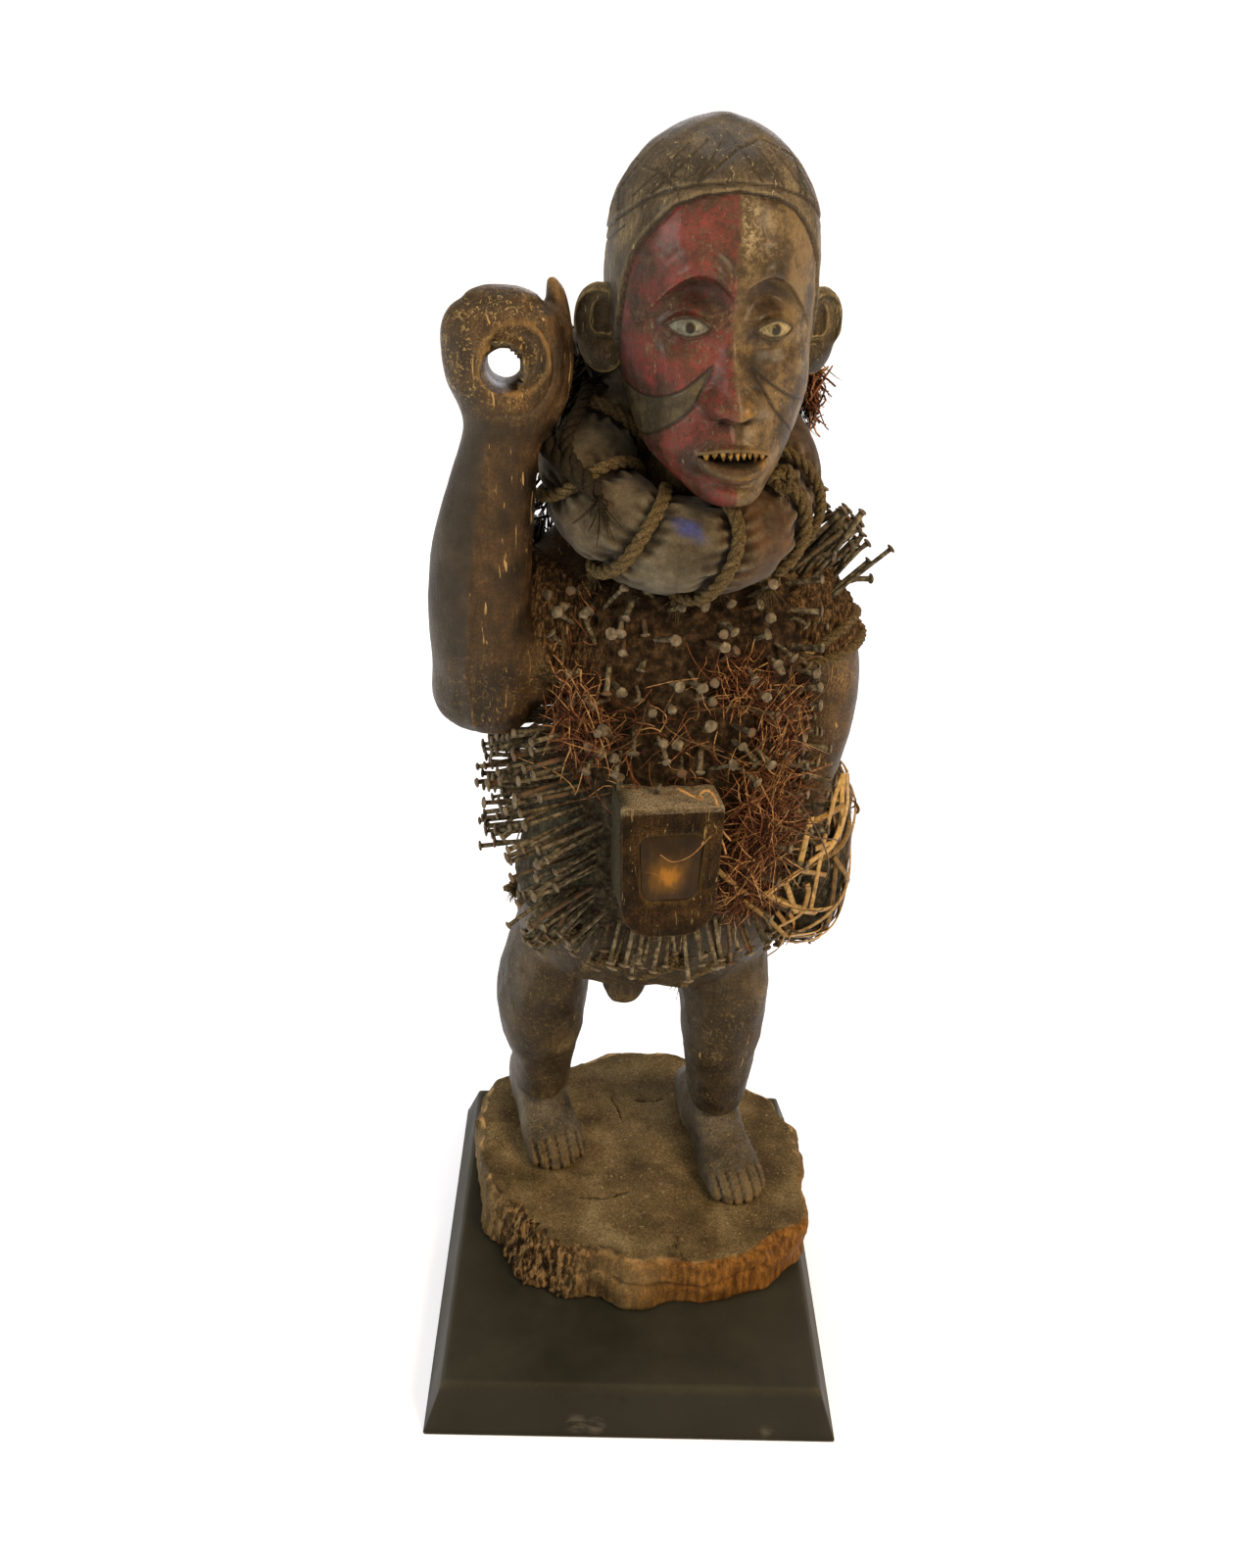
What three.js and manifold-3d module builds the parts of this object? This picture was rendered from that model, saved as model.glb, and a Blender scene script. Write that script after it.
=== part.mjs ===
// A nkisi nkondi power figure on its display plinth, in millimetres, +Z up, the figure's front towards -Y.
// The figure is one carving with its round log base. Its free form is laid out in shares of its own height,
// and everything that is tied, hung or driven into it takes its place from the same values.
import * as THREE from "three";
import { mergeVertices } from "three/addons/utils/BufferGeometryUtils.js";
import Module from "manifold-3d";

const wasm = await Module();
wasm.setup();

// Display plinth
const PLINTH_WIDTH = 430;
const PLINTH_DEPTH = 468;
const PLINTH_HEIGHT = 56;
const PLINTH_SLOPE = 17; // how far each side leans in over the height
const PLINTH_EDGE = 5; // small bevel round the top face

// Plinth, log base and carved figure, one on top of the other
const OVERALL_HEIGHT = 1214.35;
const FIGURE_YAW = 8; // degrees it is turned on the plinth
const FIGURE_X = 10;
const FIGURE_Y = 55;
const BASE_HEIGHT = 58;
const BASE_WIDTH = 392;
const BASE_DEPTH = 356;
const FIST_HOLE = 32; // bore through the raised fist that held a blade

// Stuffed collar and its rope bindings
const COLLAR_RADIUS = 82; // from the neck's axis to the middle of the stuffing
const COLLAR_THICKNESS = 90;
const COLLAR_TILT = 33; // degrees, lower in front
const BINDING_PINCH = 5; // how deep a binding pulls the stuffing in
const ROPE_DIAMETER = 11;

// Medicine box on the belly
const BOX_WIDTH = 92;
const BOX_HEIGHT = 130;
const BOX_DEPTH = 50; // how far its top stands out from the belly
const BOX_CORNER = 32; // radius of the lower corners
const PANEL_WIDTH = 54;
const PANEL_HEIGHT = 62;
const PANEL_DEPTH = 9;
const RESIN_SINK = 4; // how far the resin lies below the panel's rim

// Fibre wraps on the upper arms
const WRAP_THICKNESS = 8;

// Cane-bound bundle on the hip
const BUNDLE_WIDTH = 92;
const BUNDLE_DEPTH = 112;
const BUNDLE_HEIGHT = 226;

// Crust on the trunk, and the iron nails driven through it
const CRUST_THICKNESS = 6;
const NAIL_SHANK = 6.5;
const NAIL_HEAD = 13;
const NAIL_HEAD_THICKNESS = 3;

const CLEARANCE = 0.35; // gap between pieces that touch

// The carver's pole: the figure's height above its base in 1100 equal steps. Tables of places are in these steps.
const POLE_STEPS = 1100;
const FIGURE_HEIGHT = OVERALL_HEIGHT - PLINTH_HEIGHT - CLEARANCE - BASE_HEIGHT;
const step = FIGURE_HEIGHT / POLE_STEPS;

const vec = (x, y, z) => new THREE.Vector3(x, y, z);
const radians = THREE.MathUtils.degToRad;
const hill = (x, width) => Math.exp(-((x / width) ** 2));
const ramp = (x, from, to) => THREE.MathUtils.smoothstep(x, from, to);

// Signed degrees from one direction to another, from -180 to 180.
const turnBetween = (from, to) => THREE.MathUtils.euclideanModulo(to - from + 180, 360) - 180;

function toSolid(geometry) {
  const bare = geometry.clone();
  bare.deleteAttribute("normal");
  bare.deleteAttribute("uv");
  const merged = mergeVertices(bare, 1e-4);
  return new wasm.Manifold(
    new wasm.Mesh({
      numProp: 3,
      vertProperties: new Float32Array(merged.attributes.position.array),
      triVerts: new Uint32Array(merged.index.array),
    }),
  );
}

function toGeometry(solid) {
  const mesh = solid.getMesh();
  const positions = new Float32Array(mesh.numVert * 3);
  for (let i = 0; i < mesh.numVert; i++) {
    positions.set(mesh.vertProperties.subarray(i * mesh.numProp, i * mesh.numProp + 3), i * 3);
  }
  const geometry = new THREE.BufferGeometry();
  geometry.setAttribute("position", new THREE.BufferAttribute(positions, 3));
  geometry.setIndex(new THREE.BufferAttribute(new Uint32Array(mesh.triVerts), 1));
  geometry.computeVertexNormals();
  return geometry;
}

const union = (solids) => solids.reduce((all, one) => all.add(one));
const largest = (solid) => solid.decompose().sort((a, b) => b.volume() - a.volume())[0];

// A closed skin over rings of equal count, with a fan at each end.
function skin(rings) {
  const sides = rings[0].length;
  const positions = rings.flat().flatMap((p) => [p.x, p.y, p.z]);
  const index = [];
  for (let i = 0; i < rings.length - 1; i++) {
    for (let j = 0; j < sides; j++) {
      const a = i * sides + j;
      const b = i * sides + ((j + 1) % sides);
      index.push(a, b, b + sides, a, b + sides, a + sides);
    }
  }
  for (const [ring, first, isBottom] of [[rings[0], 0, true], [rings.at(-1), (rings.length - 1) * sides, false]]) {
    const middle = ring.reduce((sum, p) => sum.add(p), vec(0, 0, 0)).divideScalar(sides);
    const pole = positions.length / 3;
    positions.push(middle.x, middle.y, middle.z);
    for (let j = 0; j < sides; j++) {
      const a = first + j;
      const b = first + ((j + 1) % sides);
      index.push(...(isBottom ? [b, a, pole] : [a, b, pole]));
    }
  }
  const geometry = new THREE.BufferGeometry();
  geometry.setAttribute("position", new THREE.Float32BufferAttribute(positions, 3));
  geometry.setIndex(index);
  return geometry;
}

// A closed ring-shaped skin. pointAt takes the way round the ring and the way round its section, both 0 to 1.
function ringSkin(pointAt, steps, sides) {
  const positions = [];
  const index = [];
  for (let i = 0; i < steps; i++) {
    for (let j = 0; j < sides; j++) {
      positions.push(...pointAt(i / steps, j / sides).toArray());
      const a = i * sides + j;
      const b = i * sides + ((j + 1) % sides);
      const c = ((i + 1) % steps) * sides + ((j + 1) % sides);
      const d = ((i + 1) % steps) * sides + j;
      index.push(a, d, c, a, c, b);
    }
  }
  const geometry = new THREE.BufferGeometry();
  geometry.setAttribute("position", new THREE.Float32BufferAttribute(positions, 3));
  geometry.setIndex(index);
  return geometry;
}

// One coordinate of a superellipse: square = 2 is an ellipse, and more is boxier.
const bend = (value, square) => Math.sign(value) * Math.abs(value) ** (2 / square);

// A smooth run through rows [x, y, z, half-width, half-depth] in pole steps, as a function of 0 to 1.
function smoothRun(rows) {
  const place = new THREE.CatmullRomCurve3(rows.map((r) => vec(r[0], r[1], r[2])), false, "catmullrom", 0.5);
  const size = new THREE.CatmullRomCurve3(rows.map((r) => vec(r[3], r[4], 0)), false, "catmullrom", 0.5);
  return (t) => ({ place: place.getPoint(t), tangent: place.getTangent(t), size: size.getPoint(t) });
}

// A limb: an oval section carried along its rows. grow moves its whole skin outwards, in millimetres.
function limb(rows, sides, steps, grow = 0, square = 2.2) {
  const run = smoothRun(rows);
  const rings = [];
  for (let i = 0; i <= steps; i++) {
    const { place, tangent, size } = run(i / steps);
    const across = vec(1, 0, 0).addScaledVector(tangent, -tangent.x).normalize();
    const deep = tangent.clone().cross(across);
    const end = i === 0 ? -grow : i === steps ? grow : 0;
    const middle = place.multiplyScalar(step).addScaledVector(tangent, end);
    rings.push(Array.from({ length: sides }, (_, j) => {
      const angle = (2 * Math.PI * (j + 0.5)) / sides;
      return middle.clone()
        .addScaledVector(across, (size.x * step + grow) * bend(Math.cos(angle), square))
        .addScaledVector(deep, (size.y * step + grow) * bend(Math.sin(angle), square));
    }));
  }
  return toSolid(skin(rings));
}

// The way along a run, 0 to 1, at which it reaches a height.
function wayAt(run, height) {
  let low = 0;
  let high = 1;
  for (let i = 0; i < 24; i++) {
    const middle = (low + high) / 2;
    if (run(middle).place.z < height) low = middle;
    else high = middle;
  }
  return low;
}

// Trunk and neck, from the fork up into the head.
const TRUNK = [
  [-8, 30, 226, 34, 26], [-6, 28, 246, 78, 54], [0, 24, 286, 126, 78], [0, 16, 340, 144, 92],
  [0, 8, 410, 141, 98], [0, 2, 480, 126, 102], [0, -2, 550, 115, 104], [0, 2, 620, 114, 98],
  [0, 8, 680, 120, 88], [0, 14, 724, 112, 72], [0, 14, 752, 82, 58], [2, 8, 786, 52, 48],
  [5, 0, 830, 45, 44], [8, -6, 880, 44, 46],
];
const GENITAL = [[-32, -14, 228, 10, 8], [-31, -12, 238, 19, 15], [-28, -4, 256, 22, 20], [-24, 10, 280, 18, 20]];

// The place on the trunk at a height and an angle from the front, and the way out from it.
const trunkRun = smoothRun(TRUNK);
function onTrunk(height, degrees, out = 0) {
  const { place, size } = trunkRun(wayAt(trunkRun, height));
  const angle = radians(degrees);
  const flat = vec(bend(Math.sin(angle), 2.2) * size.x, -bend(Math.cos(angle), 2.2) * size.y, 0);
  const normal = vec(Math.sin(angle) / size.x, -Math.cos(angle) / size.y, 0).normalize();
  return { point: place.add(flat).multiplyScalar(step).addScaledVector(normal, out), normal };
}

const RAISED_UPPER_ARM = [
  [-78, 16, 740, 44, 44], [-104, 6, 710, 48, 46], [-132, -6, 668, 48, 46], [-152, -20, 634, 42, 42], [-158, -26, 614, 28, 28],
];
const FOREARM = [
  [-170, -27, 597, 15, 15], [-170, -28, 603, 32, 34], [-172, -30, 624, 42, 44], [-177, -32, 665, 45, 46],
  [-180, -34, 715, 44, 44], [-177, -36, 770, 41, 40], [-169, -38, 820, 36, 34], [-162, -41, 860, 32, 28],
  [-160, -43, 885, 40, 29], [-158, -44, 912, 48, 31], [-159, -44, 940, 46, 31], [-162, -44, 963, 34, 26],
  [-164, -44, 976, 14, 14],
];
const FINGER = [[-120, -34, 880, 12, 20], [-116, -34, 915, 12, 22], [-115, -33, 945, 10, 18], [-118, -32, 970, 8, 12], [-122, -31, 982, 4, 5]];
const HIP_ARM = [
  [80, 14, 716, 42, 44], [106, 12, 698, 45, 46], [130, 10, 668, 43, 45], [146, 8, 632, 38, 43], [149, 2, 590, 35, 39],
  [146, -8, 546, 29, 33], [138, -26, 512, 22, 24], [126, -44, 488, 22, 20], [112, -54, 474, 18, 16],
];
const LEFT_LEG = [
  [-82, 30, 340, 50, 56], [-102, 30, 285, 55, 58], [-116, 32, 237, 50, 52], [-117, 30, 195, 46, 45],
  [-114, 44, 155, 39, 39], [-113, 54, 112, 34, 36], [-113, 60, 76, 31, 33], [-113, 62, 64, 17, 18],
];
const RIGHT_LEG = [
  [66, 28, 340, 52, 56], [77, 22, 285, 53, 58], [84, 12, 237, 50, 50], [85, 4, 195, 46, 44],
  [86, 6, 155, 41, 39], [87, 10, 112, 36, 36], [88, 12, 76, 31, 33], [88, 14, 64, 17, 18],
];

// Feet, from heel to toes.
const LEFT_FOOT = [
  [-126, 148, 18, 8, 14], [-124, 138, 24, 22, 26], [-119, 108, 32, 28, 40], [-113, 74, 34, 30, 40],
  [-107, 44, 20, 33, 24], [-101, 12, 12, 35, 16], [-98, -8, 8, 31, 11], [-97, -14, 6, 20, 6],
];
const RIGHT_FOOT = [
  [74, 92, 18, 8, 14], [76, 82, 24, 22, 26], [82, 50, 32, 28, 40], [88, 14, 34, 30, 40],
  [94, -20, 20, 33, 24], [100, -59, 12, 35, 16], [104, -81, 8, 31, 11], [105, -88, 6, 20, 6],
];
const TOE_SLIT_WIDTH = 3;
const TOE_SLIT_LENGTH = 34;
const TOE_SPACING = 13.5;

function foot(rows, grow) {
  const made = limb(rows, 9, 8, grow, 2.6);
  if (grow) return made;
  const toe = rows.at(-2);
  const instep = rows.at(-4);
  const heading = Math.atan2(toe[0] - instep[0], instep[1] - toe[1]);
  const slits = [-1.5, -0.5, 0.5, 1.5].map((place) => {
    const slit = new THREE.BoxGeometry(TOE_SLIT_WIDTH, TOE_SLIT_LENGTH, 24 * step);
    slit.translate(place * TOE_SPACING, 0, 0);
    slit.rotateZ(heading);
    slit.translate(toe[0] * step, (toe[1] + 2) * step, 19 * step);
    return toSolid(slit);
  });
  return made.subtract(union(slits));
}

// The head by shares of its own height from the chin: [share, half-width, front y, back y] in pole steps.
const CHIN = 820;
const HEAD_STEPS = POLE_STEPS - CHIN;
const HEAD_SHIFT = 9; // towards the viewer's right
const HEAD = [
  [0, 11, -92, -66], [0.02, 24, -104, -42], [0.07, 36, -108, -10], [0.16, 52, -108, 34], [0.27, 67, -105, 58],
  [0.375, 77, -103, 70], [0.48, 83, -102, 77], [0.59, 85, -103, 80], [0.7, 83, -101, 78], [0.8, 76, -93, 69],
  [0.89, 60, -77, 52], [0.96, 38, -54, 28], [1, 12, -34, 4],
];
const headShape = new THREE.CatmullRomCurve3(HEAD.map((r) => vec(r[0] * 1000, 0, 0)), false, "catmullrom", 0.5);
const headSize = new THREE.CatmullRomCurve3(HEAD.map((r) => vec(r[1], r[2], r[3])), false, "catmullrom", 0.5);

// How far the face stands out in front of the plain head: side from its midline in steps, share of the height.
// Eyes at half height, nose to a quarter, mouth a third of the way down from there: a carver's canon.
const EYES = 0.5;
const NOSE = 0.27;
const MOUTH = 0.175;
const EYE_SPACING = 33; // from the midline
function faceRelief(x, share) {
  const side = Math.abs(x);
  const eye = EYE_SPACING / step;
  const z = (value) => (share - value) * HEAD_STEPS;
  const socket = -9 * hill(side - eye, 21) * hill(z(EYES), 14);
  const ball = 8.5 * hill(side - eye, 13) * hill(z(EYES), 7.5);
  const brow = 4 * hill(z(EYES + 0.095) + 0.004 * (side - eye) ** 2, 7) * hill(side - eye, 26);
  const noseSpan = ramp(share, NOSE - 0.02, NOSE + 0.02) * (1 - ramp(share, EYES - 0.03, EYES + 0.13));
  const nose = (6 + 14 * ramp(EYES - share, 0, EYES - NOSE)) * noseSpan * hill(x, 9 + 9 * ramp(EYES - share, 0, 0.21));
  const wings = 9 * hill(side - 16, 8) * hill(z(NOSE + 0.035), 9);
  const muzzle = 9 * hill(x, 38) * hill(z(MOUTH), 26);
  const lips = 7 * (hill(z(MOUTH + 0.045), 5) + hill(z(MOUTH - 0.045), 6)) * hill(x, 26);
  const mouth = -9 * hill(z(MOUTH), 6) * hill(x, 22);
  const chin = 6 * hill(x, 20) * hill(z(0.05), 12);
  const cheek = 3 * hill(side - 50, 18) * hill(z(0.37), 22);
  return socket + ball + brow + nose + wings + muzzle + lips + mouth + chin + cheek;
}

// Levels and angles bunch together on the face, where the carving is.
const HEAD_LEVELS = [
  0.01, 0.04, 0.08, 0.12, 0.145, 0.175, 0.205, 0.235, 0.27, 0.31, 0.37, 0.43, 0.47, 0.5, 0.53,
  0.575, 0.62, 0.71, 0.8, 0.815, 0.88, 0.94, 0.98, 0.998,
];
const FACE_ANGLES = [9, 18, 28, 42, 62, 86, 114, 146];
const HAIRLINE = 0.805;
const CAP_RISE = 2.5; // how far the incised cap stands up from the forehead

function headRing(share, grow) {
  let low = 0;
  let high = 1;
  for (let i = 0; i < 24; i++) {
    const middle = (low + high) / 2;
    if (headShape.getPoint(middle).x < share * 1000) low = middle;
    else high = middle;
  }
  const size = headSize.getPoint(low);
  const centre = size.y * 0.45 + size.z * 0.55;
  const cap = (CAP_RISE / step) * ramp(share, HAIRLINE - 0.004, HAIRLINE + 0.006) * (1 - ramp(share, 0.88, 0.98));
  const angles = [0, ...FACE_ANGLES, 180, ...FACE_ANGLES.map((a) => 360 - a).reverse()];
  const level = CHIN + share * HEAD_STEPS;
  return angles.map((degrees) => {
    const facing = Math.cos(radians(degrees));
    const depth = facing > 0 ? centre - size.y : size.z - centre;
    const x = bend(Math.sin(radians(degrees)), 2.25) * (size.x + cap);
    const y = centre - bend(facing, 2.25) * (depth + cap);
    const relief = faceRelief(x, share) * ramp(facing, 0.05, 0.6);
    const out = vec(Math.sin(radians(degrees)), -facing, 0).multiplyScalar(grow);
    return vec(HEAD_SHIFT / step + x, y - relief, level).multiplyScalar(step).add(out);
  });
}

function head(grow) {
  const rings = HEAD_LEVELS.map((share) => headRing(share, grow));
  rings[0].forEach((p) => { p.z -= grow; });
  rings.at(-1).forEach((p) => { p.z += grow; });
  return toSolid(skin(rings));
}

// An ear: a shell-shaped disc with a hollow bowl, standing out from the side of the head.
const EAR = [
  [0, 0, -40, 4, 4], [0, 0, -34, 11, 7], [0, 0, -20, 14, 8], [0, 0, 0, 18, 8], [0, 0, 22, 20, 8],
  [0, 0, 34, 14, 7], [0, 0, 40, 5, 4],
];
const EAR_PLACE = [88, -6, 940]; // out from the head's midline, back, up
const EAR_TURN = 38; // degrees that its bowl faces out from straight ahead
function ear(side, grow) {
  let shell = limb(EAR, 8, 6, grow);
  if (!grow) {
    const bowl = new THREE.SphereGeometry(1, 6, 4);
    bowl.scale(11 * step, 7 * step, 22 * step);
    bowl.translate(0, -8.5 * step, 4 * step);
    shell = shell.subtract(toSolid(bowl));
  }
  const placed = new THREE.Matrix4().makeRotationZ(side * radians(EAR_TURN));
  const [out, back, up] = EAR_PLACE;
  placed.setPosition(vec(side * out, back, up).multiplyScalar(step).add(vec(HEAD_SHIFT, 0, 0)));
  return shell.transform(placed.elements);
}

// The log base: an uneven round with its rim split away, squarer in front on the viewer's right.
const RIM_SIDES = 32;
const RIM_CORNER = -42; // degrees, towards the front right
function rimShare(degrees, isTop) {
  const angle = radians(degrees);
  const corner = 0.13 * hill(turnBetween(RIM_CORNER, degrees), 20);
  const splits = 0.02 * Math.sin(5 * angle + 1) + 0.014 * Math.sin(11 * angle + 2) + 0.01 * Math.sin(17 * angle);
  const worn = isTop ? 0.03 + 0.02 * Math.sin(7 * angle + 2) : 0;
  return 1 + corner + splits - worn;
}
function logBase(grow) {
  const levels = [[-BASE_HEIGHT, false], [-BASE_HEIGHT * 0.12, false], [0, true]];
  return toSolid(skin(levels.map(([z, isTop]) => Array.from({ length: RIM_SIDES }, (_, j) => {
    const degrees = (360 * j) / RIM_SIDES;
    const share = rimShare(degrees, isTop);
    const x = Math.cos(radians(degrees)) * ((BASE_WIDTH / 2) * share + grow);
    const y = Math.sin(radians(degrees)) * ((BASE_DEPTH / 2) * share + grow);
    return vec(x, y, z + (isTop ? grow : 0));
  }))));
}

// The carving before its bore. With grow it is the room that every other piece has to keep out of.
function carving(grow = 0) {
  return union([
    limb(TRUNK, 16, 12, grow), limb(GENITAL, 7, 3, grow), head(grow), ear(-1, grow), ear(1, grow),
    limb(RAISED_UPPER_ARM, 10, 4, grow), limb(FOREARM, 11, 12, grow), limb(FINGER, 6, 4, grow),
    limb(HIP_ARM, 10, 9, grow), limb(LEFT_LEG, 11, 8, grow), limb(RIGHT_LEG, 11, 8, grow),
    foot(LEFT_FOOT, grow), foot(RIGHT_FOOT, grow), logBase(grow),
  ]);
}
const around = carving(CLEARANCE);

const yaw = radians(FIGURE_YAW);
const FIST_PLACE = [-160, -44, 920];
const FIST_BORE = 140; // longer than the fist is deep
const bore = new THREE.CylinderGeometry(FIST_HOLE / 2, FIST_HOLE / 2, FIST_BORE, 14);
bore.rotateZ(-yaw); // along the plinth's own depth
bore.translate(...FIST_PLACE.map((value) => value * step));
const figure = carving().subtract(toSolid(bore));

// The collar: a stuffed ring round the neck, pinched where a rope binds it. Angles run from the front.
const COLLAR_PLACE = [-4, -3, 823];
const BINDINGS = [-78, -36, 6, 46, 64, 118, 172, -128];
const COLLAR_STEPS = 26;
const COLLAR_SIDES = 9;
function collarPoint(degrees, turn, out) {
  const pinch = Math.max(...BINDINGS.map((at) => hill(turnBetween(at, degrees), 9)));
  const thick = COLLAR_THICKNESS / 2 - BINDING_PINCH * pinch + out;
  const reach = COLLAR_RADIUS + thick * Math.cos(turn);
  const point = vec(reach * Math.sin(radians(degrees)), -reach * Math.cos(radians(degrees)), thick * Math.sin(turn));
  point.applyAxisAngle(vec(1, 0, 0), radians(COLLAR_TILT));
  return point.add(vec(...COLLAR_PLACE).multiplyScalar(step));
}
const collarRing = (out) =>
  toSolid(ringSkin((u, v) => collarPoint(360 * u, 2 * Math.PI * v, out), COLLAR_STEPS, COLLAR_SIDES));
const collarRoom = collarRing(CLEARANCE);
const collar = largest(collarRing(0).subtract(around));

// A binding: a rope once round the stuffing, crossing its face aslant.
const BINDING_SLANT = 13; // degrees round the collar
const BINDING_STEPS = 11;
const BINDING_GAP = 1.8; // from the stuffing to the rope, so that its straight runs stay clear
function binding(at, radius) {
  const middle = Array.from({ length: BINDING_STEPS }, (_, i) => {
    const turn = (2 * Math.PI * i) / BINDING_STEPS;
    return collarPoint(at + BINDING_SLANT * Math.sin(turn), turn, ROPE_DIAMETER / 2 + BINDING_GAP);
  });
  return toSolid(new THREE.TubeGeometry(new THREE.CatmullRomCurve3(middle, true), BINDING_STEPS, radius, 4, true));
}
const ropes = [];
let ropeRoom = collarRoom;
for (const at of BINDINGS) {
  ropes.push(largest(binding(at, ROPE_DIAMETER / 2).subtract(around).subtract(ropeRoom)));
  ropeRoom = ropeRoom.add(binding(at, ROPE_DIAMETER / 2 + CLEARANCE));
}

// The medicine box: a block with rounded lower corners, seated on the belly, with a sunk panel in front.
const BOX_PLACE = [-22, 572]; // its middle from the trunk's axis, and its top
const BOX_ROOT = 80; // how far it would run on into the belly
const BOX_LEAN = 5; // degrees that its front leans back at the foot
const BOX_TAPER = 0.03; // share of its width that each side draws in
const boxFront = onTrunk(BOX_PLACE[1], 0).point.y - BOX_DEPTH;
function boxOutline(grow) {
  const half = BOX_WIDTH / 2 + grow;
  const foot = -BOX_HEIGHT - grow + BOX_CORNER;
  const low = half - BOX_WIDTH * BOX_TAPER - BOX_CORNER;
  const shape = new THREE.Shape();
  shape.moveTo(half, grow);
  shape.lineTo(-half, grow);
  shape.absarc(-low, foot, BOX_CORNER, Math.PI, Math.PI * 1.5);
  shape.absarc(low, foot, BOX_CORNER, Math.PI * 1.5, Math.PI * 2);
  return shape;
}
// Sets upright what was drawn flat: its face becomes the box's front, a distance behind it.
function upright(geometry, behind) {
  geometry.rotateX(Math.PI / 2);
  geometry.translate(0, behind, 0);
  geometry.rotateX(radians(-BOX_LEAN));
  geometry.translate(BOX_PLACE[0] * step, boxFront, BOX_PLACE[1] * step);
  return toSolid(geometry);
}
function boxBlock(grow) {
  const depth = BOX_DEPTH + BOX_ROOT + 2 * grow; // it is cut to the belly's curve afterwards
  const block = new THREE.ExtrudeGeometry(boxOutline(grow), { depth, bevelEnabled: false, curveSegments: 5 });
  return upright(block, depth - grow);
}
function panelBlock(thickness, grow, behind) {
  const block = new THREE.BoxGeometry(PANEL_WIDTH - 2 * grow, PANEL_HEIGHT - 2 * grow, thickness);
  block.translate(0, -BOX_HEIGHT * 0.46, 0);
  return upright(block, behind);
}
const bellyBox = largest(boxBlock(0).subtract(panelBlock(2 * PANEL_DEPTH, 0, 0)).subtract(around));
const resinThickness = PANEL_DEPTH - RESIN_SINK - CLEARANCE;
const resin = panelBlock(resinThickness, CLEARANCE, RESIN_SINK + resinThickness / 2);

// A wrap of knotted fibre: a sleeve a little thicker than the arm it is wound round.
const WRAPPED_UPPER_ARM = [[-92, 10, 726, 46, 45], [-112, 3, 698, 48, 46], [-132, -6, 668, 48, 46], [-146, -15, 644, 44, 43]];
const WRAPPED_SHOULDER = [[90, 13, 712, 44, 45], [106, 12, 698, 45, 46], [130, 10, 668, 43, 45], [138, 9, 650, 41, 44]];
const wrapAt = (rows, grow) => limb(rows, 10, 3, WRAP_THICKNESS + grow);
const raisedWrap = largest(wrapAt(WRAPPED_UPPER_ARM, 0).subtract(around).subtract(ropeRoom));

// The bundle on the hip: [x, y, share of its height, share of its width, share of its depth].
const BUNDLE_LEVEL = [428];
const BUNDLE = [
  [142, 6, -0.5, 0.12, 0.14], [144, 8, -0.46, 0.34, 0.36], [150, 10, -0.3, 0.47, 0.46], [154, 12, -0.05, 0.5, 0.5],
  [158, 14, 0.2, 0.44, 0.46], [160, 16, 0.38, 0.3, 0.36], [160, 16, 0.5, 0.08, 0.1],
];
const bundleRows = BUNDLE.map(([x, y, up, wide, deep]) => [
  x, y, BUNDLE_LEVEL[0] + (up * BUNDLE_HEIGHT) / step, (wide * BUNDLE_WIDTH) / step, (deep * BUNDLE_DEPTH) / step,
]);
const bundleAt = (grow) => limb(bundleRows, 12, 8, grow);
const bundle = largest(bundleAt(0).subtract(around));

// The hip rope: over the hips behind, and down over the lower belly in front.
const HIP_ROPE_PLACE = [356, 62]; // its height behind, and how far it drops in front
const HIP_ROPE_STEPS = 24;
function hipRopeAt(radius) {
  const points = Array.from({ length: HIP_ROPE_STEPS }, (_, i) => {
    const degrees = (360 * i) / HIP_ROPE_STEPS;
    const height = HIP_ROPE_PLACE[0] - HIP_ROPE_PLACE[1] * hill(turnBetween(0, degrees), 55);
    return onTrunk(height, degrees, ROPE_DIAMETER / 2).point;
  });
  return toSolid(new THREE.TubeGeometry(new THREE.CatmullRomCurve3(points, true), HIP_ROPE_STEPS, radius, 4, true));
}
const hipRope = largest(hipRopeAt(ROPE_DIAMETER / 2).subtract(around).subtract(bundleAt(CLEARANCE)));

// A nail: a forged shank with a low hammered head.
const NAIL_SIDES = 3;
function nail(place, aim, length, grow = 0) {
  const profile = [
    [0, -grow], [NAIL_SHANK / 2 + grow, -grow], [NAIL_SHANK / 2 + grow, length - NAIL_HEAD_THICKNESS - grow],
    [NAIL_HEAD / 2 + grow, length - NAIL_HEAD_THICKNESS * 0.6], [0, length + grow],
  ];
  const turned = new THREE.LatheGeometry(profile.map(([x, y]) => new THREE.Vector2(x, y)), NAIL_SIDES);
  const pose = new THREE.Matrix4().makeRotationFromQuaternion(
    new THREE.Quaternion().setFromUnitVectors(vec(0, 1, 0), aim.clone().normalize()),
  );
  pose.setPosition(place);
  turned.applyMatrix4(pose);
  return toSolid(turned);
}

const share = (i, count) => (count > 1 ? i / (count - 1) : 0.5);

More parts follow.
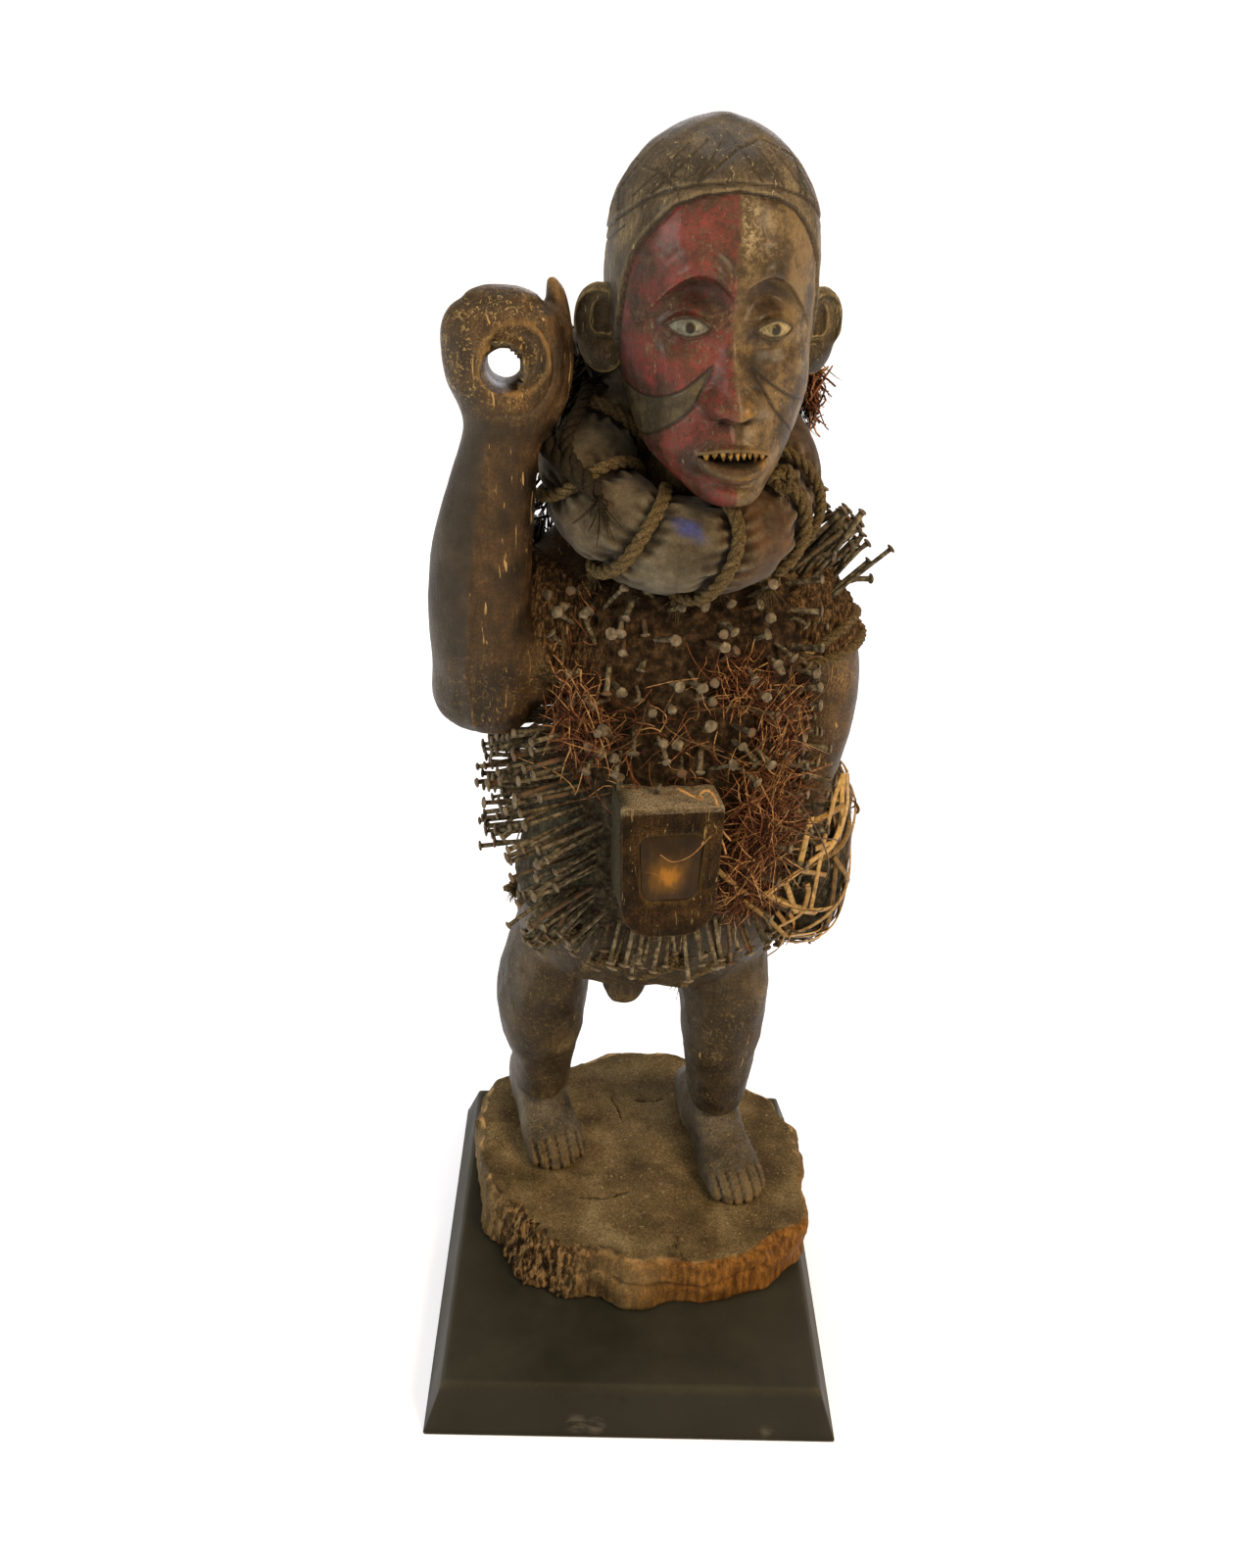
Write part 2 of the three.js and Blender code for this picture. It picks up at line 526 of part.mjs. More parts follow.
// The shoulder wrap with its sheaf of long nails, driven in from its top round to its front.
const SHEAF_ROWS = 2;
const SHEAF_COLUMNS = 4;
const SHEAF_LENGTH = 78;
const SHEAF_ANGLES = [42, 80]; // round the arm, from its upper side to its front
const [sheafStart, sheafEnd] = [WRAPPED_SHOULDER[0], WRAPPED_SHOULDER.at(-1)].map((row) => vec(row[0], row[1], row[2]));
const alongArm = sheafEnd.clone().sub(sheafStart).normalize();
const outOfArm = vec(-alongArm.z, 0, alongArm.x);
function wrapAndSheaf(grow) {
  let made = wrapAt(WRAPPED_SHOULDER, grow);
  for (let i = 0; i < SHEAF_ROWS * SHEAF_COLUMNS; i++) {
    const row = Math.floor(i / SHEAF_COLUMNS);
    const round = radians(THREE.MathUtils.lerp(...SHEAF_ANGLES, share(i % SHEAF_COLUMNS, SHEAF_COLUMNS)));
    const reach = WRAPPED_SHOULDER[0][4] + (CLEARANCE + WRAP_THICKNESS / 2) / step;
    const place = sheafStart.clone()
      .addScaledVector(alongArm, 11 * row - 3)
      .addScaledVector(outOfArm, reach * Math.cos(round))
      .add(vec(0, -reach * Math.sin(round), 0));
    const aim = vec(0.52 + 0.12 * Math.sin(5 * i), 0.1 * Math.sin(2 * i), 0.75 + 0.1 * Math.cos(3 * i));
    made = made.add(nail(place.multiplyScalar(step), aim, SHEAF_LENGTH, grow));
  }
  return made;
}
const shoulderWrap = largest(wrapAndSheaf(0).subtract(around).subtract(ropeRoom));

// Patches of nails: heights and angles from the front that they fill, how far they stand out, and their lean.
const NAIL_PATCHES = [
  { heights: [608, 714], rows: 3, angles: [-42, 36], columns: 5, length: 34, lean: vec(0, -0.2, -0.2) },
  { heights: [472, 600], rows: 5, angles: [-98, -62], columns: 3, length: 60, lean: vec(-0.5, 0, -0.12) },
  { heights: [412, 462], rows: 2, angles: [-78, -40], columns: 3, length: 50, lean: vec(-0.25, 0, -0.9) },
  { heights: [404, 404], rows: 1, angles: [-30, 18], columns: 5, length: 44, lean: vec(0, 0, -1.7) },
  { heights: [450, 560], rows: 2, angles: [36, 62], columns: 2, length: 40, lean: vec(0, 0, -0.4) },
  { heights: [480, 690], rows: 3, angles: [140, 220], columns: 3, length: 38, lean: vec(0, 0, -0.1) },
];
const CRUST_SPAN = [392, 736]; // its lower and upper edge
const crustSlab = new THREE.BoxGeometry(400 * step, 400 * step, (CRUST_SPAN[1] - CRUST_SPAN[0]) * step);
crustSlab.translate(0, 0, ((CRUST_SPAN[0] + CRUST_SPAN[1]) / 2) * step);
let nailCrust = limb(TRUNK, 16, 12, CRUST_THICKNESS + CLEARANCE).intersect(toSolid(crustSlab));

for (const { heights, rows, angles, columns, length, lean } of NAIL_PATCHES) {
  for (let row = 0; row < rows; row++) {
    for (let column = 0; column < columns; column++) {
      const height = THREE.MathUtils.lerp(...heights, share(row, rows)) + 7 * Math.sin(3 * column + 5 * row);
      const stagger = row % 2 ? 0.5 / columns : 0;
      const degrees = THREE.MathUtils.lerp(...angles, share(column, columns) + stagger);
      const { point, normal } = onTrunk(height, degrees, CLEARANCE + CRUST_THICKNESS / 2);
      const sway = vec(0.12 * Math.sin(7 * column + row), 0, 0.1 * Math.cos(4 * row + 2 * column));
      nailCrust = nailCrust.add(nail(point, normal.add(lean).add(sway), length * step));
    }
  }
}
for (const room of [around, ropeRoom, boxBlock(CLEARANCE), bundleAt(CLEARANCE), hipRopeAt(ROPE_DIAMETER / 2 + CLEARANCE)]) {
  nailCrust = nailCrust.subtract(room);
}
nailCrust = nailCrust.subtract(wrapAt(WRAPPED_UPPER_ARM, CLEARANCE)).subtract(wrapAndSheaf(CLEARANCE));
nailCrust = largest(nailCrust);

// The plinth: a low slab with sides that lean in, and a small bevel round its top.
function plinthSolid() {
  const levels = [
    [0, 0], [PLINTH_HEIGHT - PLINTH_EDGE * 0.5, PLINTH_SLOPE], [PLINTH_HEIGHT, PLINTH_SLOPE + PLINTH_EDGE],
  ];
  return toSolid(skin(levels.map(([z, inset]) => {
    const halfWidth = PLINTH_WIDTH / 2 - inset;
    const halfDepth = PLINTH_DEPTH / 2 - inset;
    return [[1, 1], [-1, 1], [-1, -1], [1, -1]].map(([a, b]) => vec(a * halfWidth, b * halfDepth, z));
  })));
}

const finish = (color, roughness, metalness = 0) => new THREE.MeshStandardMaterial({ color, roughness, metalness });
const materials = {
  plinth: finish("#2b2a26", 0.6),
  wood: finish("#4a3826", 0.6),
  cloth: finish("#5b5240", 0.95),
  rope: finish("#54483a", 0.95),
  box: finish("#4f3d27", 0.7),
  resin: finish("#6a3d14", 0.25),
  fibre: finish("#5c452c", 0.95),
  cane: finish("#8a6c40", 0.9),
  iron: finish("#3a332b", 0.75, 0.6),
};

const part = new THREE.Group();
const standingFigure = new THREE.Group();
standingFigure.position.set(FIGURE_X, FIGURE_Y, PLINTH_HEIGHT + CLEARANCE + BASE_HEIGHT);
standingFigure.rotation.z = yaw;
part.add(standingFigure);

function addPiece(parent, name, solid, material) {
  const mesh = new THREE.Mesh(toGeometry(solid), material);
  mesh.name = name;
  parent.add(mesh);
}
addPiece(part, "plinth", plinthSolid(), materials.plinth);
addPiece(standingFigure, "figure", figure, materials.wood);
addPiece(standingFigure, "collar", collar, materials.cloth);
ropes.forEach((rope, i) => addPiece(standingFigure, `collar_rope_${i + 1}`, rope, materials.rope));
addPiece(standingFigure, "belly_box", bellyBox, materials.box);
addPiece(standingFigure, "box_resin", resin, materials.resin);
addPiece(standingFigure, "raised_arm_wrap", raisedWrap, materials.fibre);
addPiece(standingFigure, "shoulder_wrap", shoulderWrap, materials.fibre);
addPiece(standingFigure, "hip_bundle", bundle, materials.cane);
addPiece(standingFigure, "hip_rope", hipRope, materials.rope);
addPiece(standingFigure, "nail_crust", nailCrust, materials.iron);

export default part;
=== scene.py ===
# A nkisi nkondi power figure on its display plinth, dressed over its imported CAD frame.
# The carving is worked out in the carver's own millimetres: z = 0 on top of the log base, front towards -Y.
import math

import bpy
import numpy as np
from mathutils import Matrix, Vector


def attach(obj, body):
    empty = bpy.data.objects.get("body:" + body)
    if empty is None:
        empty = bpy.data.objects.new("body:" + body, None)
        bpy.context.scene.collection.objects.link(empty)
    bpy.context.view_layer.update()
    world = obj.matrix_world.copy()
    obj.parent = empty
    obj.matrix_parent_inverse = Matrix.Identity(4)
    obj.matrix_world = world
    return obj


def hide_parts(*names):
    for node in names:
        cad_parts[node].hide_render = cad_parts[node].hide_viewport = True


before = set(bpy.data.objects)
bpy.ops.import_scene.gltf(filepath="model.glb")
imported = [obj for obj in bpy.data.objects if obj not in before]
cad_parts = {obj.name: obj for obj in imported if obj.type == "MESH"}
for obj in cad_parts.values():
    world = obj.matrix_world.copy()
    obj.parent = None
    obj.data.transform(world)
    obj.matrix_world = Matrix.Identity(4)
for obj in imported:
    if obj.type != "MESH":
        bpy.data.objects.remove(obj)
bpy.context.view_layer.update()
print("frame loaded:", len(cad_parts), "nodes")

figurePlace = {"yaw": 8, "x": 10, "y": 55, "z": 114.35}  # degrees and millimetres on the plinth


def toWorld(points):  # turned by the yaw, moved onto the plinth, millimetres to metres
    yaw = math.radians(figurePlace["yaw"])
    x, y, z = np.moveaxis(np.asarray(points, float), -1, 0)
    east = x * math.cos(yaw) - y * math.sin(yaw) + figurePlace["x"]
    north = x * math.sin(yaw) + y * math.cos(yaw) + figurePlace["y"]
    return np.stack([east, north, z + figurePlace["z"]], -1) / 1000


def hill(x, width):  # a bell that is 1 at 0 and falls off over the width
    return np.exp(-((x / width) ** 2))


def ramp(x, low, high):  # smooth step from 0 at low to 1 at high
    t = np.clip((x - low) / (high - low), 0, 1)
    return t * t * (3 - 2 * t)


def turnBetween(start, end):  # degrees, from -180 to 180
    return np.mod(end - start + 180, 360) - 180


def bend(value, square=2.2):  # one coordinate of a superellipse: 2 is an ellipse, more is boxier
    return np.sign(value) * np.abs(value) ** (2 / square)


def unit(vectors):
    return vectors / np.maximum(np.linalg.norm(vectors, axis=-1, keepdims=True), 1e-9)


def smoothRun(rows, t):  # Catmull-Rom through the rows, read at t from 0 to 1
    rows = np.asarray(rows, float)
    padded = np.vstack([2 * rows[0] - rows[1], rows, 2 * rows[-1] - rows[-2]])
    along = np.clip(np.atleast_1d(t), 0, 1) * (len(rows) - 1)
    k = np.minimum(along.astype(int), len(rows) - 2)
    w = (along - k)[:, None]
    a, b, c, d = padded[k], padded[k + 1], padded[k + 2], padded[k + 3]
    m, n = (c - a) / 2, (d - b) / 2
    return b + m * w + (3 * (c - b) - 2 * m - n) * w**2 + (2 * (b - c) + m + n) * w**3


def cellRandom(cells, seed):  # a repeatable number from 0 to 1 for each whole-number cell
    x, y, z = (cells[..., i].astype(np.int64) for i in range(3))
    h = (x * 73856093) ^ (y * 19349663) ^ (z * 83492791) ^ (seed * 2654435761)
    h = ((h ^ (h >> 13)) * 1274126177) & 0x7FFFFFFF
    return ((h ^ (h >> 15)) & 0xFFFF) / 65535.0


def noise(points, size, seed=0):  # value noise from -1 to 1: random cell corners, smoothly blended
    p = np.asarray(points, float) / size
    cell = np.floor(p).astype(np.int64)
    f = p - cell
    f = f * f * (3 - 2 * f)
    total = 0
    for corner in np.ndindex(2, 2, 2):
        weight = np.prod(np.where(np.array(corner) == 1, f, 1 - f), axis=-1)
        total = total + weight * cellRandom(cell + np.array(corner), seed)
    return total * 2 - 1


def layered(points, size, seed=0, layers=3):  # noise added to itself at half the size and half the height
    return sum(noise(points, size / 2**i, seed + i) / 2**i for i in range(layers)) / (2 - 2.0 ** (1 - layers))


def nearestCell(points, size, seed=0):  # distance to the nearest of the jittered cell points, 0 to about 1
    p = np.asarray(points, float) / size
    cell = np.floor(p).astype(np.int64)
    best = np.full(p.shape[:-1], 9.0)
    for corner in np.ndindex(3, 3, 3):
        at = cell + np.array(corner) - 1
        spot = at + np.stack([cellRandom(at, seed + i) for i in range(3)], -1)
        best = np.minimum(best, np.linalg.norm(spot - p, axis=-1))
    return best


def lineDistance(points, *lines):  # least distance from each point to any of the broken lines
    flat = points.reshape(-1, points.shape[-1])
    best = np.full(len(flat), 1e9)
    for line in lines:
        line = np.asarray(line, float)
        near = np.all((flat > line.min(0) - 12) & (flat < line.max(0) + 12), axis=1)
        for a, b in zip(line[:-1], line[1:]):
            along = np.clip((flat[near] - a) @ (b - a) / max((b - a) @ (b - a), 1e-9), 0, 1)
            reach = np.linalg.norm(flat[near] - a - along[:, None] * (b - a), axis=1)
            best[near] = np.minimum(best[near], reach)
    return best.reshape(points.shape[:-1])


def gridFaces(rows, columns, closedRows=False, closedColumns=True):  # quads of a grid counted row by row
    i = np.arange(rows if closedRows else rows - 1)[:, None]
    j = np.arange(columns if closedColumns else columns - 1)[None, :]
    a, b = i * columns + j, i * columns + (j + 1) % columns
    c, d = (i + 1) % rows * columns + (j + 1) % columns, (i + 1) % rows * columns + j
    return np.stack([a, b, c, d], -1).reshape(-1, 4)


# rings (n, m, 3), running bottom to top and counter-clockwise, closed by a fan at each end
def closedLoft(rings):
    n, m = rings.shape[:2]
    j = np.arange(m)
    points = np.vstack([rings.reshape(-1, 3), rings[0].mean(0), rings[-1].mean(0)])
    low = np.stack([(j + 1) % m, j, np.full(m, n * m)], -1)
    high = np.stack([(n - 1) * m + j, (n - 1) * m + (j + 1) % m, np.full(m, n * m + 1)], -1)
    return points, [gridFaces(n, m), np.vstack([low, high])]


def manyLofts(rings):  # (n, m, s, 3): n closed forms of m rings each, with one face at each end
    n, m, s = rings.shape[:3]
    start = (np.arange(n) * m * s)[:, None, None]
    body = gridFaces(m, s)[None] + start
    caps = np.stack([np.arange(s)[::-1], (m - 1) * s + np.arange(s)])[None] + start
    return rings.reshape(-1, 3), [body.reshape(-1, 4), caps.reshape(-1, s)]


def framesAlong(paths):  # (n, m, 3): tangents and two normals, carried along each path without twisting
    along = unit(np.gradient(paths, axis=1))
    guide = np.where(np.abs(along[:, :1, 2:]) > 0.8, [1.0, 0, 0], [0, 0, 1.0])[:, 0]
    carried = unit(np.cross(along[:, 0], guide))
    across = np.empty_like(along)
    for i in range(paths.shape[1]):
        carried = unit(carried - along[:, i] * np.sum(carried * along[:, i], -1, keepdims=True))
        across[:, i] = carried
    return along, across, np.cross(along, across)


# one closed tube for each path; flat is its thinness
def tubes(paths, radii, sides=4, spin=0, flat=1, core=None):
    along, across, behind = framesAlong(paths)
    if core is not None:  # strips turn their flat side away from the core
        across = unit(np.cross(along, paths - core))
        behind = np.cross(along, across)
    angle = spin + 2 * np.pi * np.arange(sides) / sides
    ring = across[:, :, None] * np.cos(angle)[:, None] + flat * behind[:, :, None] * np.sin(angle)[:, None]
    return manyLofts(paths[:, :, None] + ring * np.broadcast_to(radii, paths.shape[:2])[:, :, None, None])


def evenly(path, gap):  # the same path with points a gap apart
    path = np.asarray(path, float)
    length = np.concatenate([[0], np.cumsum(np.linalg.norm(np.diff(path, axis=0), axis=1))])
    at = np.linspace(0, length[-1], max(int(length[-1] / gap), 3))
    return np.stack([np.interp(at, length, path[:, i]) for i in range(3)], -1), at


# strands wound round a path: offset r/2, each 0.55 r thick
def twisted(path, radius, pitch=None, strands=3, sides=6):
    pitch = pitch or radius * 5.5
    path, length = evenly(path, pitch / 9)
    _, across, behind = framesAlong(path[None])
    turn = 2 * np.pi * (length / pitch + np.arange(strands)[:, None] / strands)[..., None]
    wound = path + 0.5 * radius * (across * np.cos(turn) + behind * np.sin(turn))
    ends = np.minimum(length, length[-1] - length) / radius
    return tubes(wound, 0.55 * radius * np.clip(0.55 + 0.45 * ends, 0, 1)[None], sides)


def joined(*shapes):  # several (points, faces) as one
    points, faces, start = [], [], 0
    for some, sets in shapes:
        points.append(some)
        faces += [f + start for f in sets]
        start += len(some)
    return np.vstack(points), faces


def makePiece(name, shape, isWorld=False):  # an object with its place in its mesh
    points, faces = shape
    places = points if isWorld else toWorld(points)
    mesh = bpy.data.meshes.new(name)
    mesh.vertices.add(len(places))
    mesh.vertices.foreach_set("co", np.asarray(places, np.float32).ravel())
    counts = np.concatenate([np.full(len(f), f.shape[1]) for f in faces])
    mesh.loops.add(int(counts.sum()))
    mesh.loops.foreach_set("vertex_index", np.concatenate([f.ravel() for f in faces]).astype(np.int32))
    mesh.polygons.add(len(counts))
    mesh.polygons.foreach_set("loop_start", np.concatenate([[0], np.cumsum(counts)[:-1]]).astype(np.int32))
    mesh.update(calc_edges=True)
    mesh.validate()
    mesh.shade_smooth()
    thing = bpy.data.objects.new(name, mesh)
    bpy.context.scene.collection.objects.link(thing)
    return thing


def addMask(thing, name, values):  # a number for each vertex, read by its name in materials; end caps get 0
    given = np.ravel(values)
    layer = thing.data.attributes.get(name) or thing.data.attributes.new(name, "FLOAT", "POINT")
    padding = np.zeros(len(layer.data) - len(given))
    layer.data.foreach_set("value", np.append(given, padding).astype(np.float32))


def addShades(thing, shades):  # one shade for each strand, over all its vertices
    addMask(thing, "own", np.repeat(shades, len(thing.data.vertices) // len(shades)))


def applied(thing, *modifiers):  # adds modifiers, each (type, settings), and bakes them into the mesh
    for kind, settings in modifiers:
        modifier = thing.modifiers.new(kind.lower(), kind)
        for key, value in settings.items():
            setattr(modifier, key, value)
    graph = bpy.context.evaluated_depsgraph_get()
    mesh = bpy.data.meshes.new_from_object(thing.evaluated_get(graph))
    thing.modifiers.clear()
    thing.data = mesh
    mesh.shade_smooth()
    return thing


def readMesh(thing):  # places in millimetres and normals
    mesh = thing.data
    places = np.empty(len(mesh.vertices) * 3, np.float32)
    normals = np.empty(len(mesh.vertices) * 3, np.float32)
    mesh.vertices.foreach_get("co", places)
    mesh.vertex_normals.foreach_get("vector", normals)
    return places.reshape(-1, 3).astype(float) * 1000, normals.reshape(-1, 3).astype(float)


def writePlaces(thing, places):
    thing.data.vertices.foreach_set("co", (places / 1000).astype(np.float32).ravel())
    thing.data.update()


def addWear(thing, reach=3):  # masks edge and cavity: how far a vertex stands out of or below its neighbours
    places, normals = readMesh(thing)
    edges = np.empty(len(thing.data.edges) * 2, np.int32)
    thing.data.edges.foreach_get("vertices", edges)
    a, b = edges.reshape(-1, 2).T
    count = np.maximum(np.bincount(a, minlength=len(places)) + np.bincount(b, minlength=len(places)), 1)

    def average(values):
        total = np.bincount(a, values[b], len(places)) + np.bincount(b, values[a], len(places))
        return total / count

    span = np.linalg.norm(places[a] - places[b], axis=1)
    length = (np.bincount(a, span, len(places)) + np.bincount(b, span, len(places))) / count
    middle = np.stack([average(places[:, i]) for i in range(3)], -1)
    bow = np.sum((places - middle) * normals, axis=1) / np.maximum(length, 1e-6)
    for _ in range(reach):
        bow = 0.5 * bow + 0.5 * average(bow)
    addMask(thing, "edge", np.clip(bow * 6, 0, 1))
    addMask(thing, "cavity", np.clip(-bow * 6, 0, 1))


def finished(thing, material, nodes=()):  # material, body, and the CAD nodes that it stands for
    thing.data.materials.clear()
    thing.data.materials.append(material)
    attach(thing, "root")
    if nodes:
        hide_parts(*nodes)
    return thing


# Materials

def toLinear(code):  # sRGB hex to a linear colour
    parts = [int(code[i:i + 2], 16) / 255 for i in (1, 3, 5)]
    return tuple(c / 12.92 if c <= 0.04045 else ((c + 0.055) / 1.055) ** 2.4 for c in parts) + (1.0,)


def setInputs(tree, node, inputs):  # inputs are values, hex colours or other nodes' sockets
    for key, value in inputs.items():
        if isinstance(value, bpy.types.NodeSocket):
            tree.links.new(value, node.inputs[key])
        else:
            node.inputs[key].default_value = toLinear(value) if isinstance(value, str) else value


def addNode(tree, kind, inputs, stops=(), output=0, **settings):  # stops are a ramp's; returns an output
    node = tree.nodes.new("ShaderNode" + kind)
    for key, value in settings.items():
        setattr(node, key, value)
    setInputs(tree, node, inputs)
    for i, (place, colour) in enumerate(stops):
        stop = node.color_ramp.elements[i] if i < 2 else node.color_ramp.elements.new(place)
        stop.position = place
        stop.color = toLinear(colour)
    return node.outputs[output]


def startMaterial(name, *patterns):
    # A pattern is a noise: scale, detail, roughness, distortion, and the axes' scales where it is stretched.
    material = bpy.data.materials.new(name)
    material.use_nodes = True
    tree = material.node_tree
    shader = tree.nodes["Principled BSDF"]
    # dulled by dust, warmed by oil
    setInputs(tree, shader, {"Specular IOR Level": 0.2, "Specular Tint": "#ffe2bc"})
    place = addNode(tree, "TexCoord", {}, output="Object")
    sockets = [place]
    for scale, detail, rough, distortion, *stretch in patterns:
        at = addNode(tree, "Mapping", {"Vector": place, "Scale": stretch}) if stretch else place
        sockets.append(addNode(tree, "TexNoise",
                               {"Vector": at, "Scale": scale, "Detail": detail, "Roughness": rough,
                                                  "Distortion": distortion}))
    return material, tree, shader, sockets


def layColours(tree, ground, *layers):
    # Each layer is a colour and its cover. Mask names, sockets and shares are multiplied together in turn, and
    # (low, high) stretches the cover so far over that range. A colour is hex, a socket, or (socket, stops).
    colour = None
    for tone, *parts in ((ground,), *layers):
        if isinstance(tone, tuple):
            tone = addNode(tree, "ValToRGB", {"Fac": tone[0]}, tone[1])
        cover = None
        for part in parts:
            if isinstance(part, str):
                part = addNode(tree, "Attribute", {}, output="Fac", attribute_name=part)
            if isinstance(part, tuple):
                cover = addNode(tree, "MapRange", {"Value": cover, "From Min": part[0], "From Max": part[1]})
            elif cover is None:
                cover = part
            else:
                cover = addNode(tree, "Math", {0: cover, 1: part}, operation="MULTIPLY")
        colour = addNode(tree, "MixRGB", {"Fac": cover, "Color1": colour, "Color2": tone}) if parts else tone
    return colour


def carvedWood(name, look, *patterns):
    # Dense tropical hardwood, knife-carved, darkened by oil and handling: streaks run with the log, up the
    # figure, worn edges are paler and smoother, dust lies in the cuts, and small nicks show raw wood.
    upright = (1, 1, look["stretch"])
    material, tree, shader, (_, blotch, grain, grit, nick, *more) = startMaterial(
        name, (1000 / look["blotch"], 5, 0.6, 0), (1000 / look["grain"], 6, 0.7, 0, *upright),
        (1000 / look["grit"], 4, 0.6, 0), (1000 / look["nick"], 3, 0.5, 1.2, *upright), *patterns)
    wood = addNode(tree, "ValToRGB", {"Fac": blotch}, look["tones"])
    for source, share, low, high, dark in ((grain, look["streaks"], 0.36, 0.62, "#4a4a4a"),
                                           (grit, look["speck"], 0.4, 0.56, "#5c5c5c")):
        shade = addNode(tree, "ValToRGB", {"Fac": source}, [(low, dark), (high, "#ffffff")])
        wood = addNode(tree, "MixRGB", {"Fac": share, "Color1": wood, "Color2": shade}, blend_type="MULTIPLY")
    wood = layColours(tree, wood, (look["dust"], grit, "cavity"), (look["worn"], "edge", grain, (0.12, 0.5)),
                      (look["raw"], nick, (look["nickFrom"], look["nickFrom"] + 0.03)))
    sheen = addNode(tree, "MapRange", {"Value": blotch, "From Min": 0.35, "From Max": 0.65,
                                       "To Min": look["rough"][0], "To Max": look["rough"][1]})
    relief = addNode(tree, "Math", {0: grain, 1: grit}, operation="ADD")
    bump = addNode(tree, "Bump", {"Height": relief, "Strength": look["bump"], "Distance": 0.0012})
    setInputs(tree, shader, {"Base Color": wood, "Roughness": sheen, "Normal": bump,
                             "Specular IOR Level": look["shine"]})
    return material, tree, shader, (wood, blotch, grit, *more)


limbWood = {"blotch": 55, "grain": 3.2, "stretch": 0.12, "grit": 1.6, "nick": 9, "nickFrom": 0.68,
            "streaks": 0.55,
            "tones": [(0.3, "#1d1712"), (0.45, "#35271a"), (0.58, "#4b3421"), (0.7, "#5f4429")],
            "dust": "#5d5443", "worn": "#7a5a38", "raw": "#a08252", "rough": (0.34, 0.62), "bump": 0.4,
            "speck": 0.5, "shine": 0.25}


# Camera, light and floor

cameraPlan = {"place": (-0.061637, -1.0407437, 1.25), "pitch": 0.52153063, "yaw": 0.03152734,
              "roll": -0.04907778, "lens": 29.158}


def addCamera(plan):  # looks down by the pitch, turned by the yaw, rolled about its own axis
    pitch, yaw, roll = plan["pitch"], plan["yaw"], plan["roll"]
    ahead = Vector((math.sin(yaw) * math.cos(pitch), math.cos(yaw) * math.cos(pitch), -math.sin(pitch)))
    right = Vector((math.cos(yaw), -math.sin(yaw), 0))
    up = right.cross(ahead)
    data = bpy.data.cameras.new("camera")
    data.lens = plan["lens"]
    data.sensor_width = 36
    camera = bpy.data.objects.new("camera", data)
    across = right * math.cos(roll) - up * math.sin(roll)
    upward = right * math.sin(roll) + up * math.cos(roll)
    for row in range(3):
        camera.matrix_world[row][0] = across[row]
        camera.matrix_world[row][1] = upward[row]
        camera.matrix_world[row][2] = -ahead[row]
        camera.matrix_world[row][3] = plan["place"][row]
    bpy.context.scene.collection.objects.link(camera)
    bpy.context.scene.camera = camera


def addSoftLight(name, place, size, power, colour):  # a square softbox aimed at the figure's middle
    data = bpy.data.lights.new(name, "AREA")
    data.size = size
    data.energy = power
    data.color = toLinear(colour)[:3]
    light = bpy.data.objects.new(name, data)
    light.location = place
    light.rotation_euler = (Vector((0, 0, 0.6)) - Vector(place)).to_track_quat("-Z", "Y").to_euler()
    bpy.context.scene.collection.objects.link(light)


addCamera(cameraPlan)
addSoftLight("keySoftbox", (1.6, -1.4, 2.2), 0.8, 60, "#ffe2bd")
addSoftLight("fillSoftbox", (-2.0, -0.9, 1.6), 0.7, 27, "#f2f2ee")
addSoftLight("topSoftbox", (0.1, 0.5, 2.9), 1.4, 20, "#ffffff")
addSoftLight("backSoftbox", (0.3, 2.4, 1.4), 1.4, 18, "#f4f4ff")
bpy.context.scene.view_settings.view_transform = "Standard"

world = bpy.data.worlds.new("paleRoom")  # white where it is seen, dimmer as a light
world.use_nodes = True
seen = addNode(world.node_tree, "LightPath", {}, output="Is Camera Ray")
glow = addNode(world.node_tree, "MapRange", {"Value": seen, "To Min": 0.45, "To Max": 1.05})
tint = addNode(world.node_tree, "MixRGB", {"Fac": seen, "Color1": "#ffecd2", "Color2": "#ffffff"})
setInputs(world.node_tree, world.node_tree.nodes["Background"], {"Color": tint, "Strength": glow})
bpy.context.scene.world = world

stagePlan = {"half": 40, "colour": "#eef3ff"}
floor = makePiece("floor", (np.array([[-1, -1, 0], [1, -1, 0], [1, 1, 0], [-1, 1, 0]]) * stagePlan["half"]
                            - np.array([0, 0, 0.0005]), [np.array([[0, 1, 2, 3]])]), isWorld=True)
paper, paperTree, paperShader, (paperPlace,) = startMaterial("matt background paper")
away = addNode(paperTree, "VectorMath", {0: paperPlace}, output="Value", operation="LENGTH")
lit = addNode(paperTree, "MapRange", {"Value": away, "From Min": 0.4, "From Max": 3.2, "To Min": 0.3,
                                      "To Max": 0.75})
setInputs(paperTree, paperShader,
          {"Base Color": stagePlan["colour"], "Roughness": 0.9, "Emission Color": "#ffffff",
                                   "Emission Strength": lit})  # evens out the lamps' fall-off
floor.data.materials.append(paper)
print("camera, light and floor")


# Head

